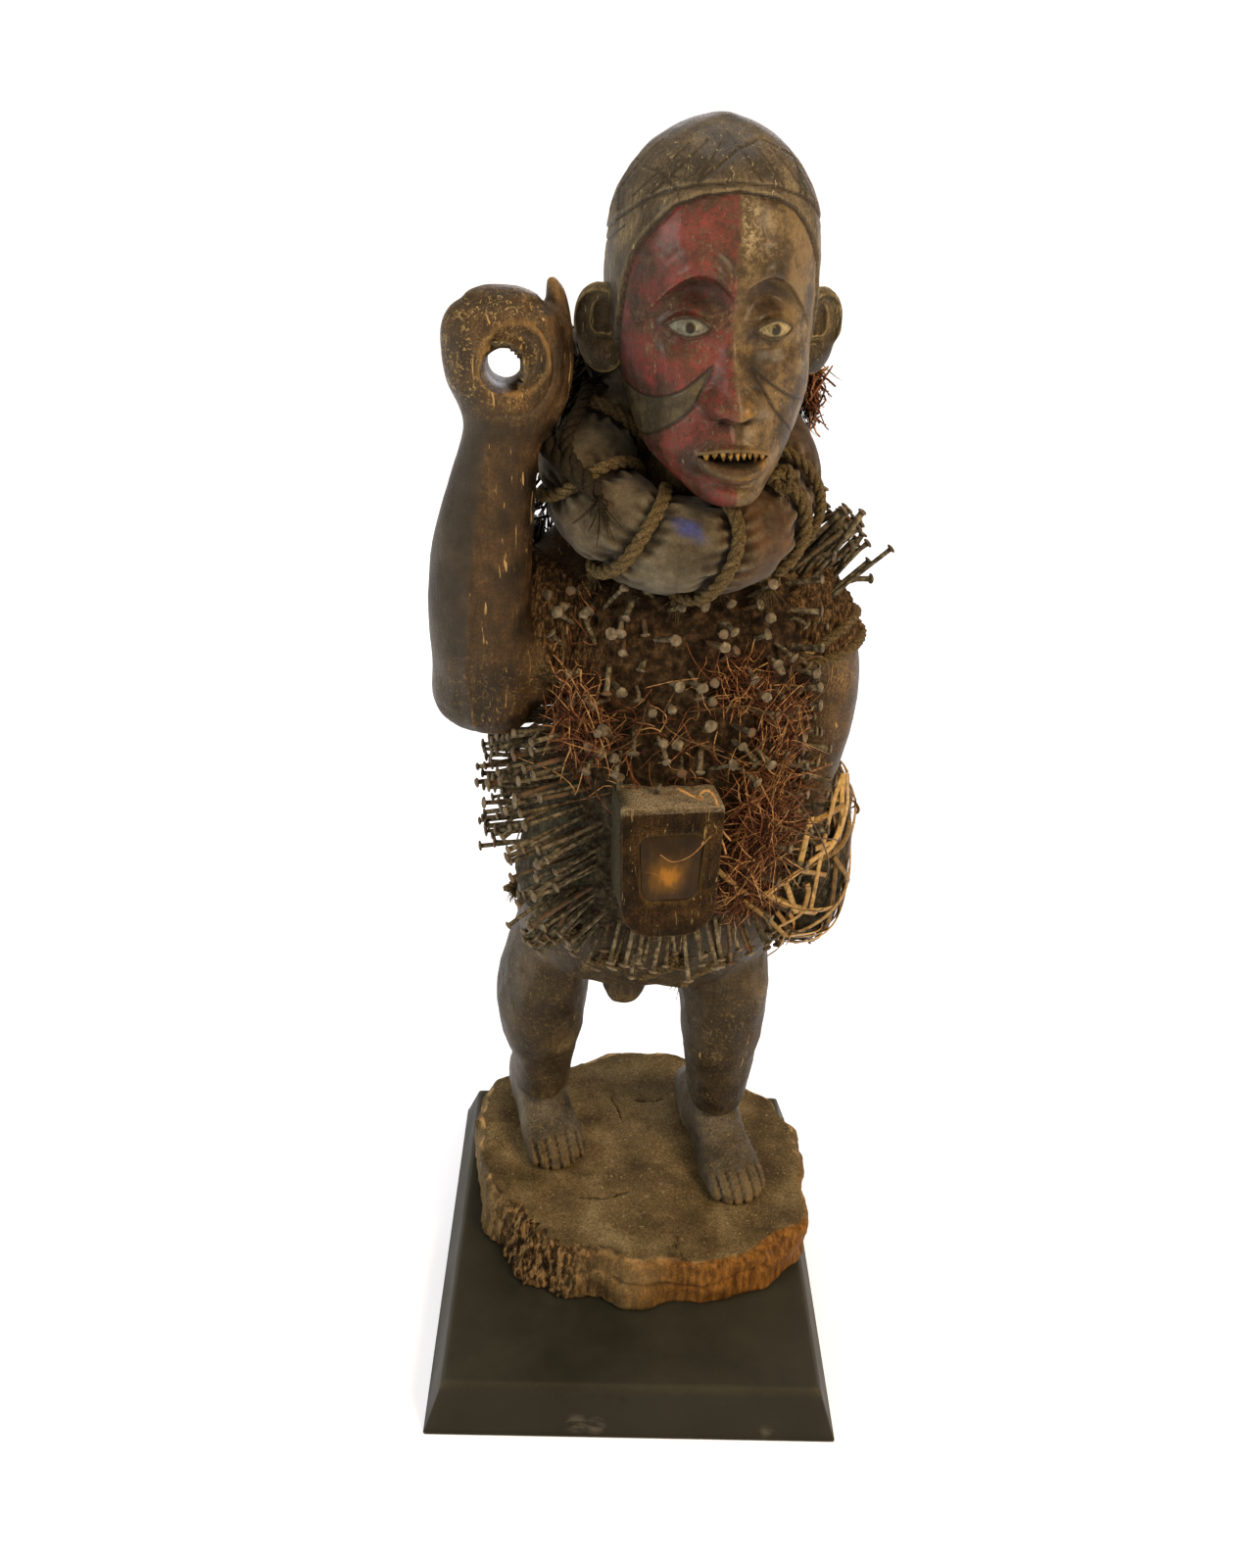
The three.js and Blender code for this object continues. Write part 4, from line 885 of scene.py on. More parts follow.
# its window-side tones are the painted reflection of the window on the side turned to it
legLook = dict(limbWood, bare="#6e5c3c", blotch=46, rough=(0.42, 0.64),
               tones=[(0.32, "#1a150e"), (0.45, "#2d2519"), (0.58, "#3f3422"), (0.72, "#55452d")],
               nickFrom=0.7, nick=5, dust="#4f452f", worn="#6f5a38", bump=0.7, speck=0.6, shine=0.3,
               cool=[(0.35, "#1d1c17"), (0.5, "#322f28"), (0.65, "#4a463d")], coolRough=0.5)
legWood = handledWood("smoked hardwood", legLook)
skinMasks(legs, [((-92, -14, 176), 15), ((72, -40, 176), 12), ((118, -20, 250), 14), ((-70, -30, 262), 12)],
          0.7)
finished(legs, legWood)

chest = makePiece("chest_and_neck", limb(trunk, span=(8.8 / 13, 1), sides=100, steps=64, grow=-2))
whittled(chest, 17, 1.4)
skinMasks(chest, [])
finished(chest, legWood)
print("trunk and legs")


def buildRaisedArm():
    arm = fused("raised_arm", [limb(raisedUpperArm), limb(forearm, steps=90, sides=64), limb(finger, steps=40)],
                2.6, 4)
    turn = np.linspace(0, 2 * np.pi, 41)[:-1]
    yaw = math.radians(figurePlace["yaw"])
    along = np.array([math.sin(yaw), math.cos(yaw), 0])  # the bore runs along the plinth's depth
    across = np.array([math.cos(yaw), -math.sin(yaw), 0])
    reach = np.linspace(-70, 70, 15)[:, None, None]
    radius = 13.8 + 3 * hill(np.abs(reach) - 34, 9)
    ring = (across * np.cos(turn)[:, None] + np.array([0, 0, 1]) * np.sin(turn)[:, None])[None]
    drill = makePiece("drill", closedLoft((np.array([-160, -44, 920]) + along * reach + ring * radius)[::-1]))
    applied(arm, ("BOOLEAN", {"object": drill, "operation": "DIFFERENCE", "solver": "EXACT"}))
    bpy.data.objects.remove(drill)
    return arm


armRidge = [(-170, -80, 890), (-176, -76, 860), (-184, -79, 800), (-192, -81, 740), (-196, -79, 670),
            (-190, -70, 618)]


# the hollow and curl of the fist, the ridge and crack down the forearm, and the elbow's knob
def armMarks(own):
    turn = np.radians(np.linspace(-100, 62, 24))
    curl = np.stack([-160 + 39 * np.cos(turn), np.full(24, -76.0),
                     922 + np.linspace(37, 46, 24) * np.sin(turn)], -1)
    onFront = ramp(-own[:, 1], 52, 66)
    flat = own * [1, 0, 1] + [0, -76, 0]
    hollow = np.hypot(own[:, 0] + 152, own[:, 2] - 930)
    lift = -7.5 * ramp(27 - hollow, 0, 8) * onFront
    lift -= 2.2 * hill(lineDistance(flat, curl), 2.4) * onFront
    lift += (2.4 * hill(lineDistance(own, armRidge), 5)
             - 2.6 * hill(lineDistance(own - [5, 0, 0], armRidge), 1.3))
    lift += 9 * hill(np.linalg.norm((own - [-134, -48, 671]) * [1, 0.7, 0.8], axis=1), 16)
    return lift


raisedArm = whittled(buildRaisedArm(), 19, 1.2, armMarks)


# the painted window reflection: the side turned to the window, painted blue-black; ochre: bare wood under the
# hole; nicked: scratched fist
def armMasks(thing):
    own = fromWorld(readMesh(thing)[0])
    ridge = np.interp(own[:, 2], [618, 670, 740, 800, 860, 890], [-190, -196, -192, -184, -176, -170])
    rough = layered(own, 14, 35)
    addMask(thing, "cool", ramp(ridge - own[:, 0] + rough, -2, 3) * (1 - ramp(own[:, 2], 870, 905))
            * (own[:, 1] < 20))
    addMask(thing, "ochre", hill(np.hypot(own[:, 0] + 154, own[:, 2] - 899) + 4 * rough, 9) * (own[:, 1] < -50))
    addMask(thing, "nicked", ramp(own[:, 2], 870, 915) * ramp(-own[:, 0], 120, 150)
            + 0.35 * hill(own[:, 2] - 650, 40))


armMasks(raisedArm)
armLook = dict(limbWood, bare="#7d6034", rough=(0.28, 0.52), nickFrom=0.67, nick=4, worn="#75582f", blotch=36,
               tones=[(0.34, "#140d07"), (0.45, "#2d1f10"), (0.56, "#48331c"), (0.68, "#664d2f")],
               bump=0.8, speck=0.7, shine=0.4,
               cool=[(0.38, "#0c0a08"), (0.5, "#1c1813"), (0.62, "#2f281f")], coolRough=0.42)
armWood = handledWood("oiled hardwood", armLook)
finished(raisedArm, armWood)

restingArm = whittled(fused("hip_arm", [limb(hipArm, steps=80)], 3, 3), 19, 1.6)
skinMasks(restingArm, [((158, -34, 636), 16)])
finished(restingArm, armWood)
print("arms")


toePlan = {"spacing": 12.5, "depth": 6.6, "length": 24}


def toeMarks(own):  # four clefts run back from the toes, and each toe is rounded between them
    lift = np.zeros(len(own))
    for rows in (leftFoot, rightFoot):
        toe, instep = np.array(rows[-2][:3]), np.array(rows[-4][:3])
        ahead = unit((toe - instep) * [1, 1, 0])
        right = np.array([-ahead[1], ahead[0], 0])
        reach = (own - toe) @ ahead
        side = (own - toe) @ right
        isNear = (ramp(reach, -toePlan["length"], -toePlan["length"] + 9) * (np.abs(side) < 36)
                  * (own[:, 1] < toe[1] + 60))
        waves = np.abs(np.mod(side / toePlan["spacing"], 1) - 0.5) * 2
        isCleft = (np.abs(side) < 1.9 * toePlan["spacing"] + 3)
        lift += isNear * (-toePlan["depth"] * ramp(waves, 0.74, 1) * isCleft + 0.5 * (1 - waves**2))
    return lift


feet = fused("feet", [limb(leftFoot, steps=70, square=2.6), limb(rightFoot, steps=70, square=2.6)], 2.3, 4)
whittled(feet, 17, 2.2, toeMarks)
skinMasks(feet, [((-98, 0, 14), 14), ((110, -78, 14), 16), ((96, -30, 24), 12)], 0.5)
footLook = dict(legLook, tones=[(0.32, "#2c2a23"), (0.45, "#484338"), (0.58, "#60594b"), (0.72, "#7a715f")],
                cool=[(0.35, "#2c2b27"), (0.5, "#4b4840"), (0.65, "#68645a")])
finished(feet, handledWood("dusty hardwood", footLook))


basePlan = {"height": 58, "width": 392, "depth": 356, "around": 420}


def buildBase(plan):
    degrees = np.linspace(-180, 180, plan["around"] + 1)[:-1]
    angle = np.radians(degrees)
    corner = 0.13 * hill(turnBetween(-42, degrees), 20) + 0.17 * hill(turnBetween(139, degrees), 15)
    rim = 1 + corner + 0.02 * np.sin(5 * angle + 1) + 0.014 * np.sin(11 * angle + 2) + 0.01 * np.sin(17 * angle)
    worn = 0.03 + 0.02 * np.sin(7 * angle + 2)
    split = hill(turnBetween(-138, degrees), 24)  # torn fibres at the front left
    fresh = hill(turnBetween(-58, degrees), 44)  # paler break at the front right
    front = hill(turnBetween(-88, degrees), 40)
    spot = np.stack([np.cos(angle) * 190, np.sin(angle) * 175, 0 * angle], -1)
    torn = 0.06 * split * (0.4 + 0.6 * noise(spot, 8, 41)) + 0.028 * split * noise(spot, 3.6, 43)
    chips = 0.02 * np.maximum(layered(spot, 20, 47), 0)
    chips += 0.05 * np.maximum(noise(spot, 44, 49), 0) * (1 - split)
    profile = [(0.0, -1), (0.35, -1), (0.7, -1), (0.94, -1), (0.985, -0.985)]
    profile += [(1.0, h) for h in np.linspace(-0.94, -0.13, 22)]
    profile += [(0.998, -0.06), (0.992, -0.015), (0.975, 0)]
    profile += [(s, 0) for s in np.linspace(0.93, 0.02, 56)]
    share, level = np.array(profile).T
    up = np.clip((level + 0.12) / 0.12, 0, 1)[:, None]
    wall = (share >= 0.985)[:, None] & (level > -0.99)[:, None]
    slope = 0.1 * split * ramp(level, -0.95, 0)[:, None] + 0.045 * front * ramp(level, -0.55, -0.05)[:, None]
    # a split along it
    slope = slope + 0.024 * front * hill(level[:, None] + 0.4 + 0.12 * np.sin(4 * angle + 1), 0.07)
    reach = rim - worn * up - slope - (torn + chips) * np.clip(0.25 + 0.75 * (level[:, None] + 1), 0, 1)
    x = np.cos(angle) * plan["width"] / 2 * reach * share[:, None]
    y = np.sin(angle) * plan["depth"] / 2 * reach * share[:, None]
    z = np.repeat(level[:, None] * plan["height"], len(angle), 1)
    rings = np.stack([x, y, z], -1)
    flat = rings.reshape(-1, 3)
    fibre = noise(flat * [1, 1, 0.07], 4.5, 51) * 1.5 + noise(flat * [1, 1, 0.1], 2.2, 53) * 0.8
    # flat breaks
    lumps = layered(flat * [1, 1, 0.6], 24, 55) * 2.6 + (nearestCell(flat * [1, 1, 1.2], 42, 56) - 0.5) * 12

    def spread(values):  # repeated for every vertex of the rings
        return np.broadcast_to(values, x.shape).ravel()

    onWall, tear = spread(wall), spread(0.2 + 3 * split)
    out = unit(flat * [1, 1, 0])
    flat = flat + out * np.where(onWall, fibre * tear + lumps - 1.5, 0)[:, None]
    onTop = spread((level > -0.01)[:, None])
    worked = layered(flat, 46, 57) * 1.1 + (nearestCell(flat * [1, 1.6, 1], 17, 59) - 0.5) * 0.9
    worked += 0.25 * layered(flat, 5, 61, 2)
    cracks = [[(-22, 92, 0), (-17, 74, 0), (-14, 60, 0)], [(8, 88, 0), (30, 84, 0), (44, 88, 0)],
              [(-78, -60, 0), (-50, -66, 0), (-22, -58, 0)],
              [(22, -128, 0), (18, -142, 0), (26, -158, 0), (24, -172, 0)],
              [(66, -168, 0), (88, -158, 0), (104, -160, 0), (118, -152, 0)]]
    wobble = 1.6 * np.stack([noise(flat, 6, 63), noise(flat, 6, 64), 0 * flat[:, 0]], -1)
    near = lineDistance(flat * [1, 1, 0] + wobble, *cracks)
    rise = 6 * hill(lineDistance(flat * [1, 1, 0], [(-122, 120, 0), (-108, 30, 0)]), 46)
    rise += 6 * hill(lineDistance(flat * [1, 1, 0], [(80, 70, 0), (98, -40, 0)]), 46)
    inside = ramp(194 - np.hypot(flat[:, 0], flat[:, 1]), 0, 14)
    lower = np.where(onTop, (worked - 1.2 - 3 * hill(near, 1.0)) * inside + 0.35 * rise, 0)
    crackWall = [[(60, -185, z) for z in (0, -58)], [(-60, -170, z) for z in (0, -30)]]
    flat[:, 2] += lower
    flat = flat - out * (3.5 * hill(lineDistance(flat, *crackWall), 2.4) * onWall)[:, None]
    flat[:, 2] = np.maximum(flat[:, 2], -plan["height"])
    base = makePiece("log_base", closedLoft(flat.reshape(rings.shape)))
    addMask(base, "torn", onWall * spread(0.25 + split))
    addMask(base, "fresh", onWall * spread(fresh + 0.12))
    addMask(base, "crack", hill(near, 1.2) * onTop)
    addWear(base, 2)
    rim = spread((hill(share - 0.99, 0.012) * (level > -0.2))[:, None])
    addMask(base, "edge", np.clip(rim * (0.5 + 0.9 * noise(flat, 9, 65)), 0, 1))  # only the rim is rubbed
    return base


baseLook = dict(limbWood, tones=[(0.34, "#4b3d29"), (0.46, "#67573a"), (0.58, "#7d6b4a"), (0.7, "#93825e")],
                grit=2.2,
                stretch=1, grain=3.2, blotch=60, rough=(0.7, 0.88), worn="#ab8b5c", dust="#53452c",
                nickFrom=0.66,
                nick=3, raw="#9a8763", bump=0.9, streaks=0.4, speck=0.45, shine=0.15)
baseLayers = {"torn": [(0.42, "#140e08"), (0.5, "#47351f"), (0.6, "#8a6d47")],
              "fresh": [(0.36, "#442a11"), (0.5, "#6c471d"), (0.64, "#8f622c")],
              "crack": [(0.4, "#0e0a07"), (0.7, "#1c150f")]}


def baseMaterial(look, layers):
    # The same log, dusty and unoiled: trodden grey-brown on top, split fibres and a paler break on its rim.
    material, tree, shader, (wood, _, grit, fibres) = carvedWood("dry log wood", look,
                                                                 (170, 7, 0.66, 0, 1, 1, 0.16))
    colour = layColours(tree, wood,
                        *(((fibres, tones), name, grit, (0.15, 0.5)) for name, tones in layers.items()))
    setInputs(tree, shader, {"Base Color": colour})
    return material


finished(buildBase(basePlan), baseMaterial(baseLook, baseLayers))
print("feet and log base")


# Crust and nails: placed by height and by degrees round the trunk from its front

trunkRun = smoothRun(trunk, np.linspace(0, 1, 600))


def onTrunk(height, degrees, out=0):  # the trunk's superellipse at that height, pushed outwards
    x, y, wide, deep = (np.interp(height, trunkRun[:, 2], trunkRun[:, i]) for i in (0, 1, 3, 4))
    # a waist
    out = out - 13 * hill(np.abs(turnBetween(0, degrees)) - 88, 34) * hill(np.asarray(height) - 598, 58)
    angle = np.radians(degrees)
    return np.stack([x + (wide + out) * bend(np.sin(angle)), y - (deep + out) * bend(np.cos(angle)),
                     height + 0 * angle], -1)


# Each patch of nails: heights, degrees, rows and columns, lengths, lean from square, how pale, how far astray
nailPatches = [
    ((604, 728), (-56, 52), (8, 9), (22, 48), (0.15, -0.1, 0.3), 0.5, 0.34),
    ((640, 730), (-104, -62), (6, 4), (20, 36), (0.1, -0.4, 0.3), 0.5, 0.22),
    ((580, 602), (-44, 60), (2, 9), (30, 50), (0.5, 0, 0), 0.5, 0.36),
    ((512, 622), (-112, -86), (16, 3), (58, 74), (-2.6, -0.1, -0.1), 0.4, 0.07),
    ((446, 514), (-108, -84), (9, 3), (38, 56), (-2.6, -0.1, -0.25), 0.4, 0.07),
    ((524, 612), (-70, -42), (10, 3), (60, 80), (-2.4, -0.3, -0.25), 0.5, 0.1),
    ((440, 530), (-46, -25), (10, 3), (58, 80), (-2.2, -0.3, -0.8), 0.6, 0.1),
    ((408, 446), (-50, -24), (3, 6), (44, 60), (-1.2, -0.15, -1.2), 0.55, 0.12),
    ((400, 414), (-26, 24), (2, 11), (38, 62), (0, 0.1, -2), 0.8, 0.16),
    ((425, 600), (22, 60), (11, 4), (34, 56), (1.3, 0, -0.05), 0.45, 0.2),
    ((396, 420), (28, 66), (2, 8), (34, 48), (0.1, 0, -1.4), 0.5, 0.15),
    ((560, 700), (62, 100), (9, 3), (18, 34), (0.8, -0.2, 0), 0.4, 0.13),
    ((430, 706), (126, 236), (12, 11), (22, 48), (0, 0, 0.05), 0.4, 0.22),
]
sheafPlan = {"count": 34, "length": (54, 72), "onBox": [(-32, -124, 566), (-64, -112, 566)]}
boxPlace = {"x": -22, "top": 572, "wide": 92, "tall": 130, "deep": 50, "corner": 32, "lean": 5, "taper": 0.03,
            "panel": (58, 66, 8), "sink": 1}


def nailPlan():  # start, direction, length and paleness of every nail
    rng = np.random.default_rng(12)
    starts, aims, lengths, pale = [], [], [], []
    for up, around, (rows, columns), shank, lean, paleness, stray in nailPatches:
        i, j = np.meshgrid(np.arange(rows), np.arange(columns), indexing="ij")
        height = np.interp(i + rng.uniform(-0.33, 0.33, i.shape), [0, rows - 1], up).ravel()
        turn = np.interp(j + 0.5 * (i % 2) + rng.uniform(-0.33, 0.33, i.shape), [0, columns - 0.5],
                         around).ravel()
        square = unit(onTrunk(height, turn, 1) - onTrunk(height, turn))
        starts.append(onTrunk(height, turn, -2))
        aims.append(unit(square + np.array(lean) + rng.normal(0, stray, square.shape)))
        lengths.append(rng.uniform(*shank, len(height)))
        pale.append(np.clip(rng.normal(paleness, 0.15, len(height)), 0, 1))
    start, aim = np.vstack(starts), np.vstack(aims)
    length, tone = np.concatenate(lengths), np.concatenate(pale)
    tip = start + aim * length[:, None]
    inBox = np.zeros(len(start), bool)
    for share in (0.2, 0.6, 1.0):
        x, y, z = (start + (tip - start) * share).T
        inBox |= (np.abs(x - boxPlace["x"]) < 54) & (np.abs(z - 507) < 72) & (y < -40)
    keep = ~inBox
    count = sheafPlan["count"]
    row = rng.uniform(0, 1, count)
    base = np.stack([100 + 34 * row + rng.normal(0, 3, count), rng.uniform(-26, 22, count), 738 - 30 * row], -1)
    lean = unit(np.stack([0.62 + 0.1 * rng.normal(size=count), 0.12 * rng.normal(size=count),
                          0.74 + 0.08 * rng.normal(size=count)], -1))
    start = np.vstack([start[keep], base, sheafPlan["onBox"]])
    aim = np.vstack([aim[keep], lean, [[0.02, -0.1, 1]] * 2])
    length = np.concatenate([length[keep], rng.uniform(*sheafPlan["length"], count), [24, 17]])
    return start, aim, length, np.concatenate([tone[keep], rng.uniform(0, 0.4, count), [0.5, 0.5]])


# a square shank along start + aim s + bow s^2, and a beaten disc on its end
def buildNails(start, aim, length, tone):
    rng = np.random.default_rng(3)
    count = len(start)
    t = np.linspace(0, 1, 6)[None, :, None]
    bow = rng.normal(0, 0.06, (count, 1, 3)) * length[:, None, None]
    isHooked = (rng.random(count) < 0.1)[:, None, None]
    hook = isHooked * np.array([0, -0.1, -0.6]) * length[:, None, None] * np.clip(t - 0.45, 0, 1)
    path = (start[:, None] + aim[:, None] * length[:, None, None] * t * (1 - 0.25 * isHooked * t) + bow * t * t
            + hook)
    thick = rng.uniform(1.9, 2.7, (count, 1)) * np.linspace(0.8, 1, 6)
    shank = tubes(path, thick * 1.15, 4, rng.uniform(0, 1.5))
    along, across, behind = framesAlong(path)
    end, out, right, up = path[:, -1], along[:, -1], across[:, -1], behind[:, -1]
    out = unit(out + rng.normal(0, 0.12, out.shape))
    angle = 2 * np.pi * np.arange(9) / 9
    radius = rng.uniform(4.2, 5.6, (count, 1)) * (1 + 0.09 * rng.normal(size=(count, 9)))
    rim = right[:, None] * np.cos(angle)[:, None] + up[:, None] * np.sin(angle)[:, None]
    rings = np.stack([end[:, None] + rim * (radius * share)[..., None] + out[:, None] * level
                      for share, level in ((0.4, -1.6), (0.96, -0.6), (1, 0.5), (0.78, 1.4), (0.3, 1.9))], 1)
    heads = manyLofts(rings)
    nails = makePiece("iron_nails", joined(shank, heads))
    addMask(nails, "head", np.concatenate([np.zeros(len(shank[0])), np.ones(len(heads[0]))]))
    perShank, perHead = len(shank[0]) // count, len(heads[0]) // count
    for name, inShank, inHead in (("pale", tone, tone), ("own", rng.random(count), rng.random(count))):
        addMask(nails, name, np.append(np.repeat(inShank, perShank), np.repeat(inHead, perHead)))
    return nails


ironLook = {"dark": [(0.36, "#25221a"), (0.5, "#464032"), (0.64, "#73694f")],
            "light": [(0.36, "#332c21"), (0.5, "#5d523d"), (0.64, "#8a7e64")], "head": "#7b6e5d",
            "rust": "#55301a"}


def ironMaterial(look):
    # Hand-forged iron, years old: black-brown patina, dusty paler heads, rust in patches and fine pitting.
    material, tree, shader, (_, cloud, fine) = startMaterial("rusted hand-forged iron", (190, 5, 0.65, 0),
                                                             (900, 3, 0.5, 0))
    colour = layColours(tree, (cloud, look["dark"]), ((cloud, look["light"]), "pale"),
                        (look["head"], "head", fine, "pale"), (look["rust"], "own", cloud, (0.42, 0.6)))
    bump = addNode(tree, "Bump", {"Height": fine, "Strength": 0.5, "Distance": 0.0006})
    setInputs(tree, shader, {"Base Color": colour, "Metallic": 0.1, "Roughness": 0.62, "Normal": bump})
    return material


nailStart, nailAim, nailLength, nailTone = nailPlan()
finished(buildNails(nailStart, nailAim, nailLength, nailTone), ironMaterial(ironLook))
print("nails:", len(nailStart))


crustPlan = {"top": 738, "foot": 398, "levels": 152, "turns": 316, "out": 5}


def buildCrust(plan, starts):  # clods, fibres and a small mound round each nail, added up on the trunk's skin
    share = np.linspace(0, 1, plan["levels"])[:, None]
    turn = np.linspace(-180, 180, plan["turns"] + 1)[:-1][None, :]
    circle = np.stack([np.cos(np.radians(turn)), np.sin(np.radians(turn)), 0 * turn], -1)
    foot = (plan["foot"] + 13 * layered(circle * 130, 22, 71) - 14 * hill(turn + 55, 26)
            - 10 * hill(np.abs(turn) - 180, 60))
    height = foot + share * (plan["top"] - foot)
    height, turn = np.broadcast_arrays(height, turn)
    flat = onTrunk(height, turn).reshape(-1, 3)
    bark = hill(turn + 62, 26) * ramp(height, 615, 660)
    belly = ramp(590 - height, -10, 60) * hill(turn + 60, 48)
    made = (3.4 * layered(flat, 24, 73) + 2.0 * layered(flat, 8, 75)
            + 2.2 * (0.5 - nearestCell(flat, 9, 77)).reshape(-1))
    made += (1.4 + 4 * bark.ravel()) * noise(flat * [1, 1, 0.14], 4.2, 79)
    made *= (1 - 0.75 * belly.ravel()) * (1 - 0.45 * (hill(turn, 34) * hill(height - 640, 60)).ravel())
    for spot in starts:
        near = np.abs(flat[:, 2] - spot[2]) < 9
        made[near] += 2.2 * hill(np.linalg.norm(flat[near] - spot, axis=1), 5.5)
    ends = ramp(share, 0, 0.016) * ramp(1 - share, 0, 0.016)
    out = (plan["out"] + made.reshape(height.shape)) * ends - 5 * (1 - ends)
    crust = makePiece("packed_crust", closedLoft(onTrunk(height, turn, out)))
    chest = hill(turn, 42) * hill(height - 610, 55)
    for name, mask in (("bark", bark), ("belly", belly), ("chest", chest)):
        addMask(crust, name, mask)
    addWear(crust, 2)
    return crust


crustLook = {"earth": [(0.36, "#0b0704"), (0.47, "#21170d"), (0.58, "#423120"), (0.7, "#665135")],
             "bark": [(0.38, "#1a1109"), (0.5, "#44301b"), (0.62, "#7d6240")],
             "belly": [(0.38, "#171610"), (0.5, "#312f24"), (0.62, "#4e4a39")],
             "chest": [(0.38, "#120c06"), (0.5, "#2c2014"), (0.62, "#54422b")]}


def crustMaterial(look):
    # Packed earth, resin and fibre: matt and crumbly, bark-brown at the shoulder, grey-black on the belly, its
    # hollows painted near-black as painted shade.
    material, tree, shader, (_, lumps, thread) = startMaterial("packed earth and fibre", (120, 8, 0.72, 0),
                                                               (420, 5, 0.7, 0, 1, 1, 0.18))
    # the last layer paints the hollows near-black: painted shade
    colour = layColours(tree, (lumps, look["earth"]), ((lumps, look["chest"]), "chest"),
                        ((lumps, look["belly"]), "belly"), ((thread, look["bark"]), "bark"),
                        ("#0b0806", "cavity"))
    height = addNode(tree, "Math", {0: lumps, 1: thread}, operation="ADD")
    bump = addNode(tree, "Bump", {"Height": height, "Strength": 0.9, "Distance": 0.0028})
    setInputs(tree, shader, {"Base Color": colour, "Roughness": 0.88, "Normal": bump})
    return material


crustSkin = crustMaterial(crustLook)
finished(buildCrust(crustPlan, nailStart), crustSkin, ["nail_crust"])
print("crust")


# Loose fibre: tufts of raffia caught among the nails, a few long wires and the split ribbons beside the box

# Each tuft: height and degrees, spread up and round, how far out, how many strands, their lengths
tufts = [
    ((622, -46), (26, 10), (8, 36), 260, (24, 62)),
    ((662, 16), (16, 9), (6, 26), 120, (18, 46)),
    ((606, 38), (34, 8), (6, 34), 260, (22, 60)),
    ((520, 29), (34, 8), (6, 38), 360, (44, 96)),
    ((440, 24), (20, 7), (4, 22), 150, (24, 66)),
    ((700, -60), (30, 16), (6, 22), 80, (14, 34)),
    ((590, -10), (40, 26), (4, 16), 80, (20, 56)),
    ((560, 180), (70, 40), (4, 18), 120, (16, 48)),
]


def buildRaffia(plan):  # each strand: a start among the nails, a direction mostly along the skin, and a curl
    rng = np.random.default_rng(8)
    paths, thick = [], []
    t = np.linspace(0, 1, 8)[None, :, None]
    for (up, around), (upSpread, aroundSpread), reach, count, lengths in plan:
        height = up + upSpread * rng.normal(0, 0.8, count)
        turn = around + aroundSpread * rng.normal(0, 0.8, count)
        out = rng.uniform(*reach, count)
        place = onTrunk(height, turn, out)
        square = unit(onTrunk(height, turn, 1) - onTrunk(height, turn))
        wild = rng.normal(size=(count, 3)) + [0, 0, -0.35]
        wild -= 0.72 * square * np.sum(wild * square, 1, keepdims=True)
        length = rng.uniform(*lengths, count)[:, None, None]
        curl = rng.normal(0, 0.5, (count, 1, 3))
        kink = rng.normal(0, 0.06, (count, 1, 3)) * np.sin(t * rng.uniform(4, 12, (count, 1, 1)))
        path = place[:, None] + length * (unit(wild)[:, None] * (t - 0.5) + curl * (t - 0.5) ** 2 + kink * 0.5)
        paths.append(path)
        thick.append(rng.uniform(0.35, 0.95, count))
    path, thick = np.concatenate(paths), np.concatenate(thick)
    path[..., 2] = np.clip(path[..., 2], 350, 760)
    radii = thick[:, None] * np.array([0.5, 0.9, 1, 1, 1, 1, 0.9, 0.4])
    raffia = makePiece("raffia_tufts", tubes(path, radii, 3, 0, 0.7))
    addShades(raffia, rng.random(len(path)))
    return raffia


raffiaLook = [(0.0, "#180c07"), (0.35, "#3f2117"), (0.7, "#7a4a2e"), (1.0, "#c0955f")]


def raffiaMaterial(name, tones, rough=0.55):
    # Split palm fibre: dull red-brown, each strand its own shade, with fine streaks.
    material, tree, shader, (_, streak) = startMaterial(name, (240, 3, 0.5, 0))
    own = addNode(tree, "Attribute", {}, output="Fac", attribute_name="own")
    blend = addNode(tree, "Math", {0: own, 1: streak}, operation="ADD")
    blend = addNode(tree, "MapRange", {"Value": blend, "From Min": 0.4, "From Max": 1.5})
    setInputs(tree, shader, {"Base Color": layColours(tree, (blend, tones)), "Roughness": rough})
    return material


raffiaFibre = raffiaMaterial("dry raffia", raffiaLook)
finished(buildRaffia(tufts), raffiaFibre)


# Long single wires and straws, as (height, degrees, out) steps round the trunk
longWires = [
    [(640, -2, 12), (650, 14, 30), (640, 24, 34), (620, 30, 26), (604, 22, 22), (590, 8, 18)],
    [(668, -4, 14), (640, -10, 26), (622, -4, 22), (606, 10, 20)],
    [(672, 40, 20), (676, 50, 34), (650, 54, 40), (630, 50, 30)],
    [(610, 2, 12), (600, 12, 22), (594, 26, 34), (588, 38, 34)],
    [(648, -16, 12), (620, -20, 20), (604, -30, 26), (586, -38, 22)],
    [(575, 24, 30), (560, 36, 40), (520, 44, 52), (470, 50, 56), (420, 52, 40)],
    [(540, 26, 36), (520, 40, 60), (500, 52, 62), (470, 58, 50)],
    [(470, 22, 20), (440, 30, 36), (420, 42, 50), (398, 56, 44)],
    [(700, -54, 16), (680, -48, 26), (650, -50, 30), (620, -58, 24)],
    [(560, -30, 8), (540, -50, 18), (515, -66, 26), (480, -72, 30), (450, -70, 24)],
]
ribbons = [[(402, 40, 16), (385, 42, 24), (360, 40, 26), (345, 37, 22)],
           [(400, 46, 16), (380, 48, 24), (352, 46, 24)]]
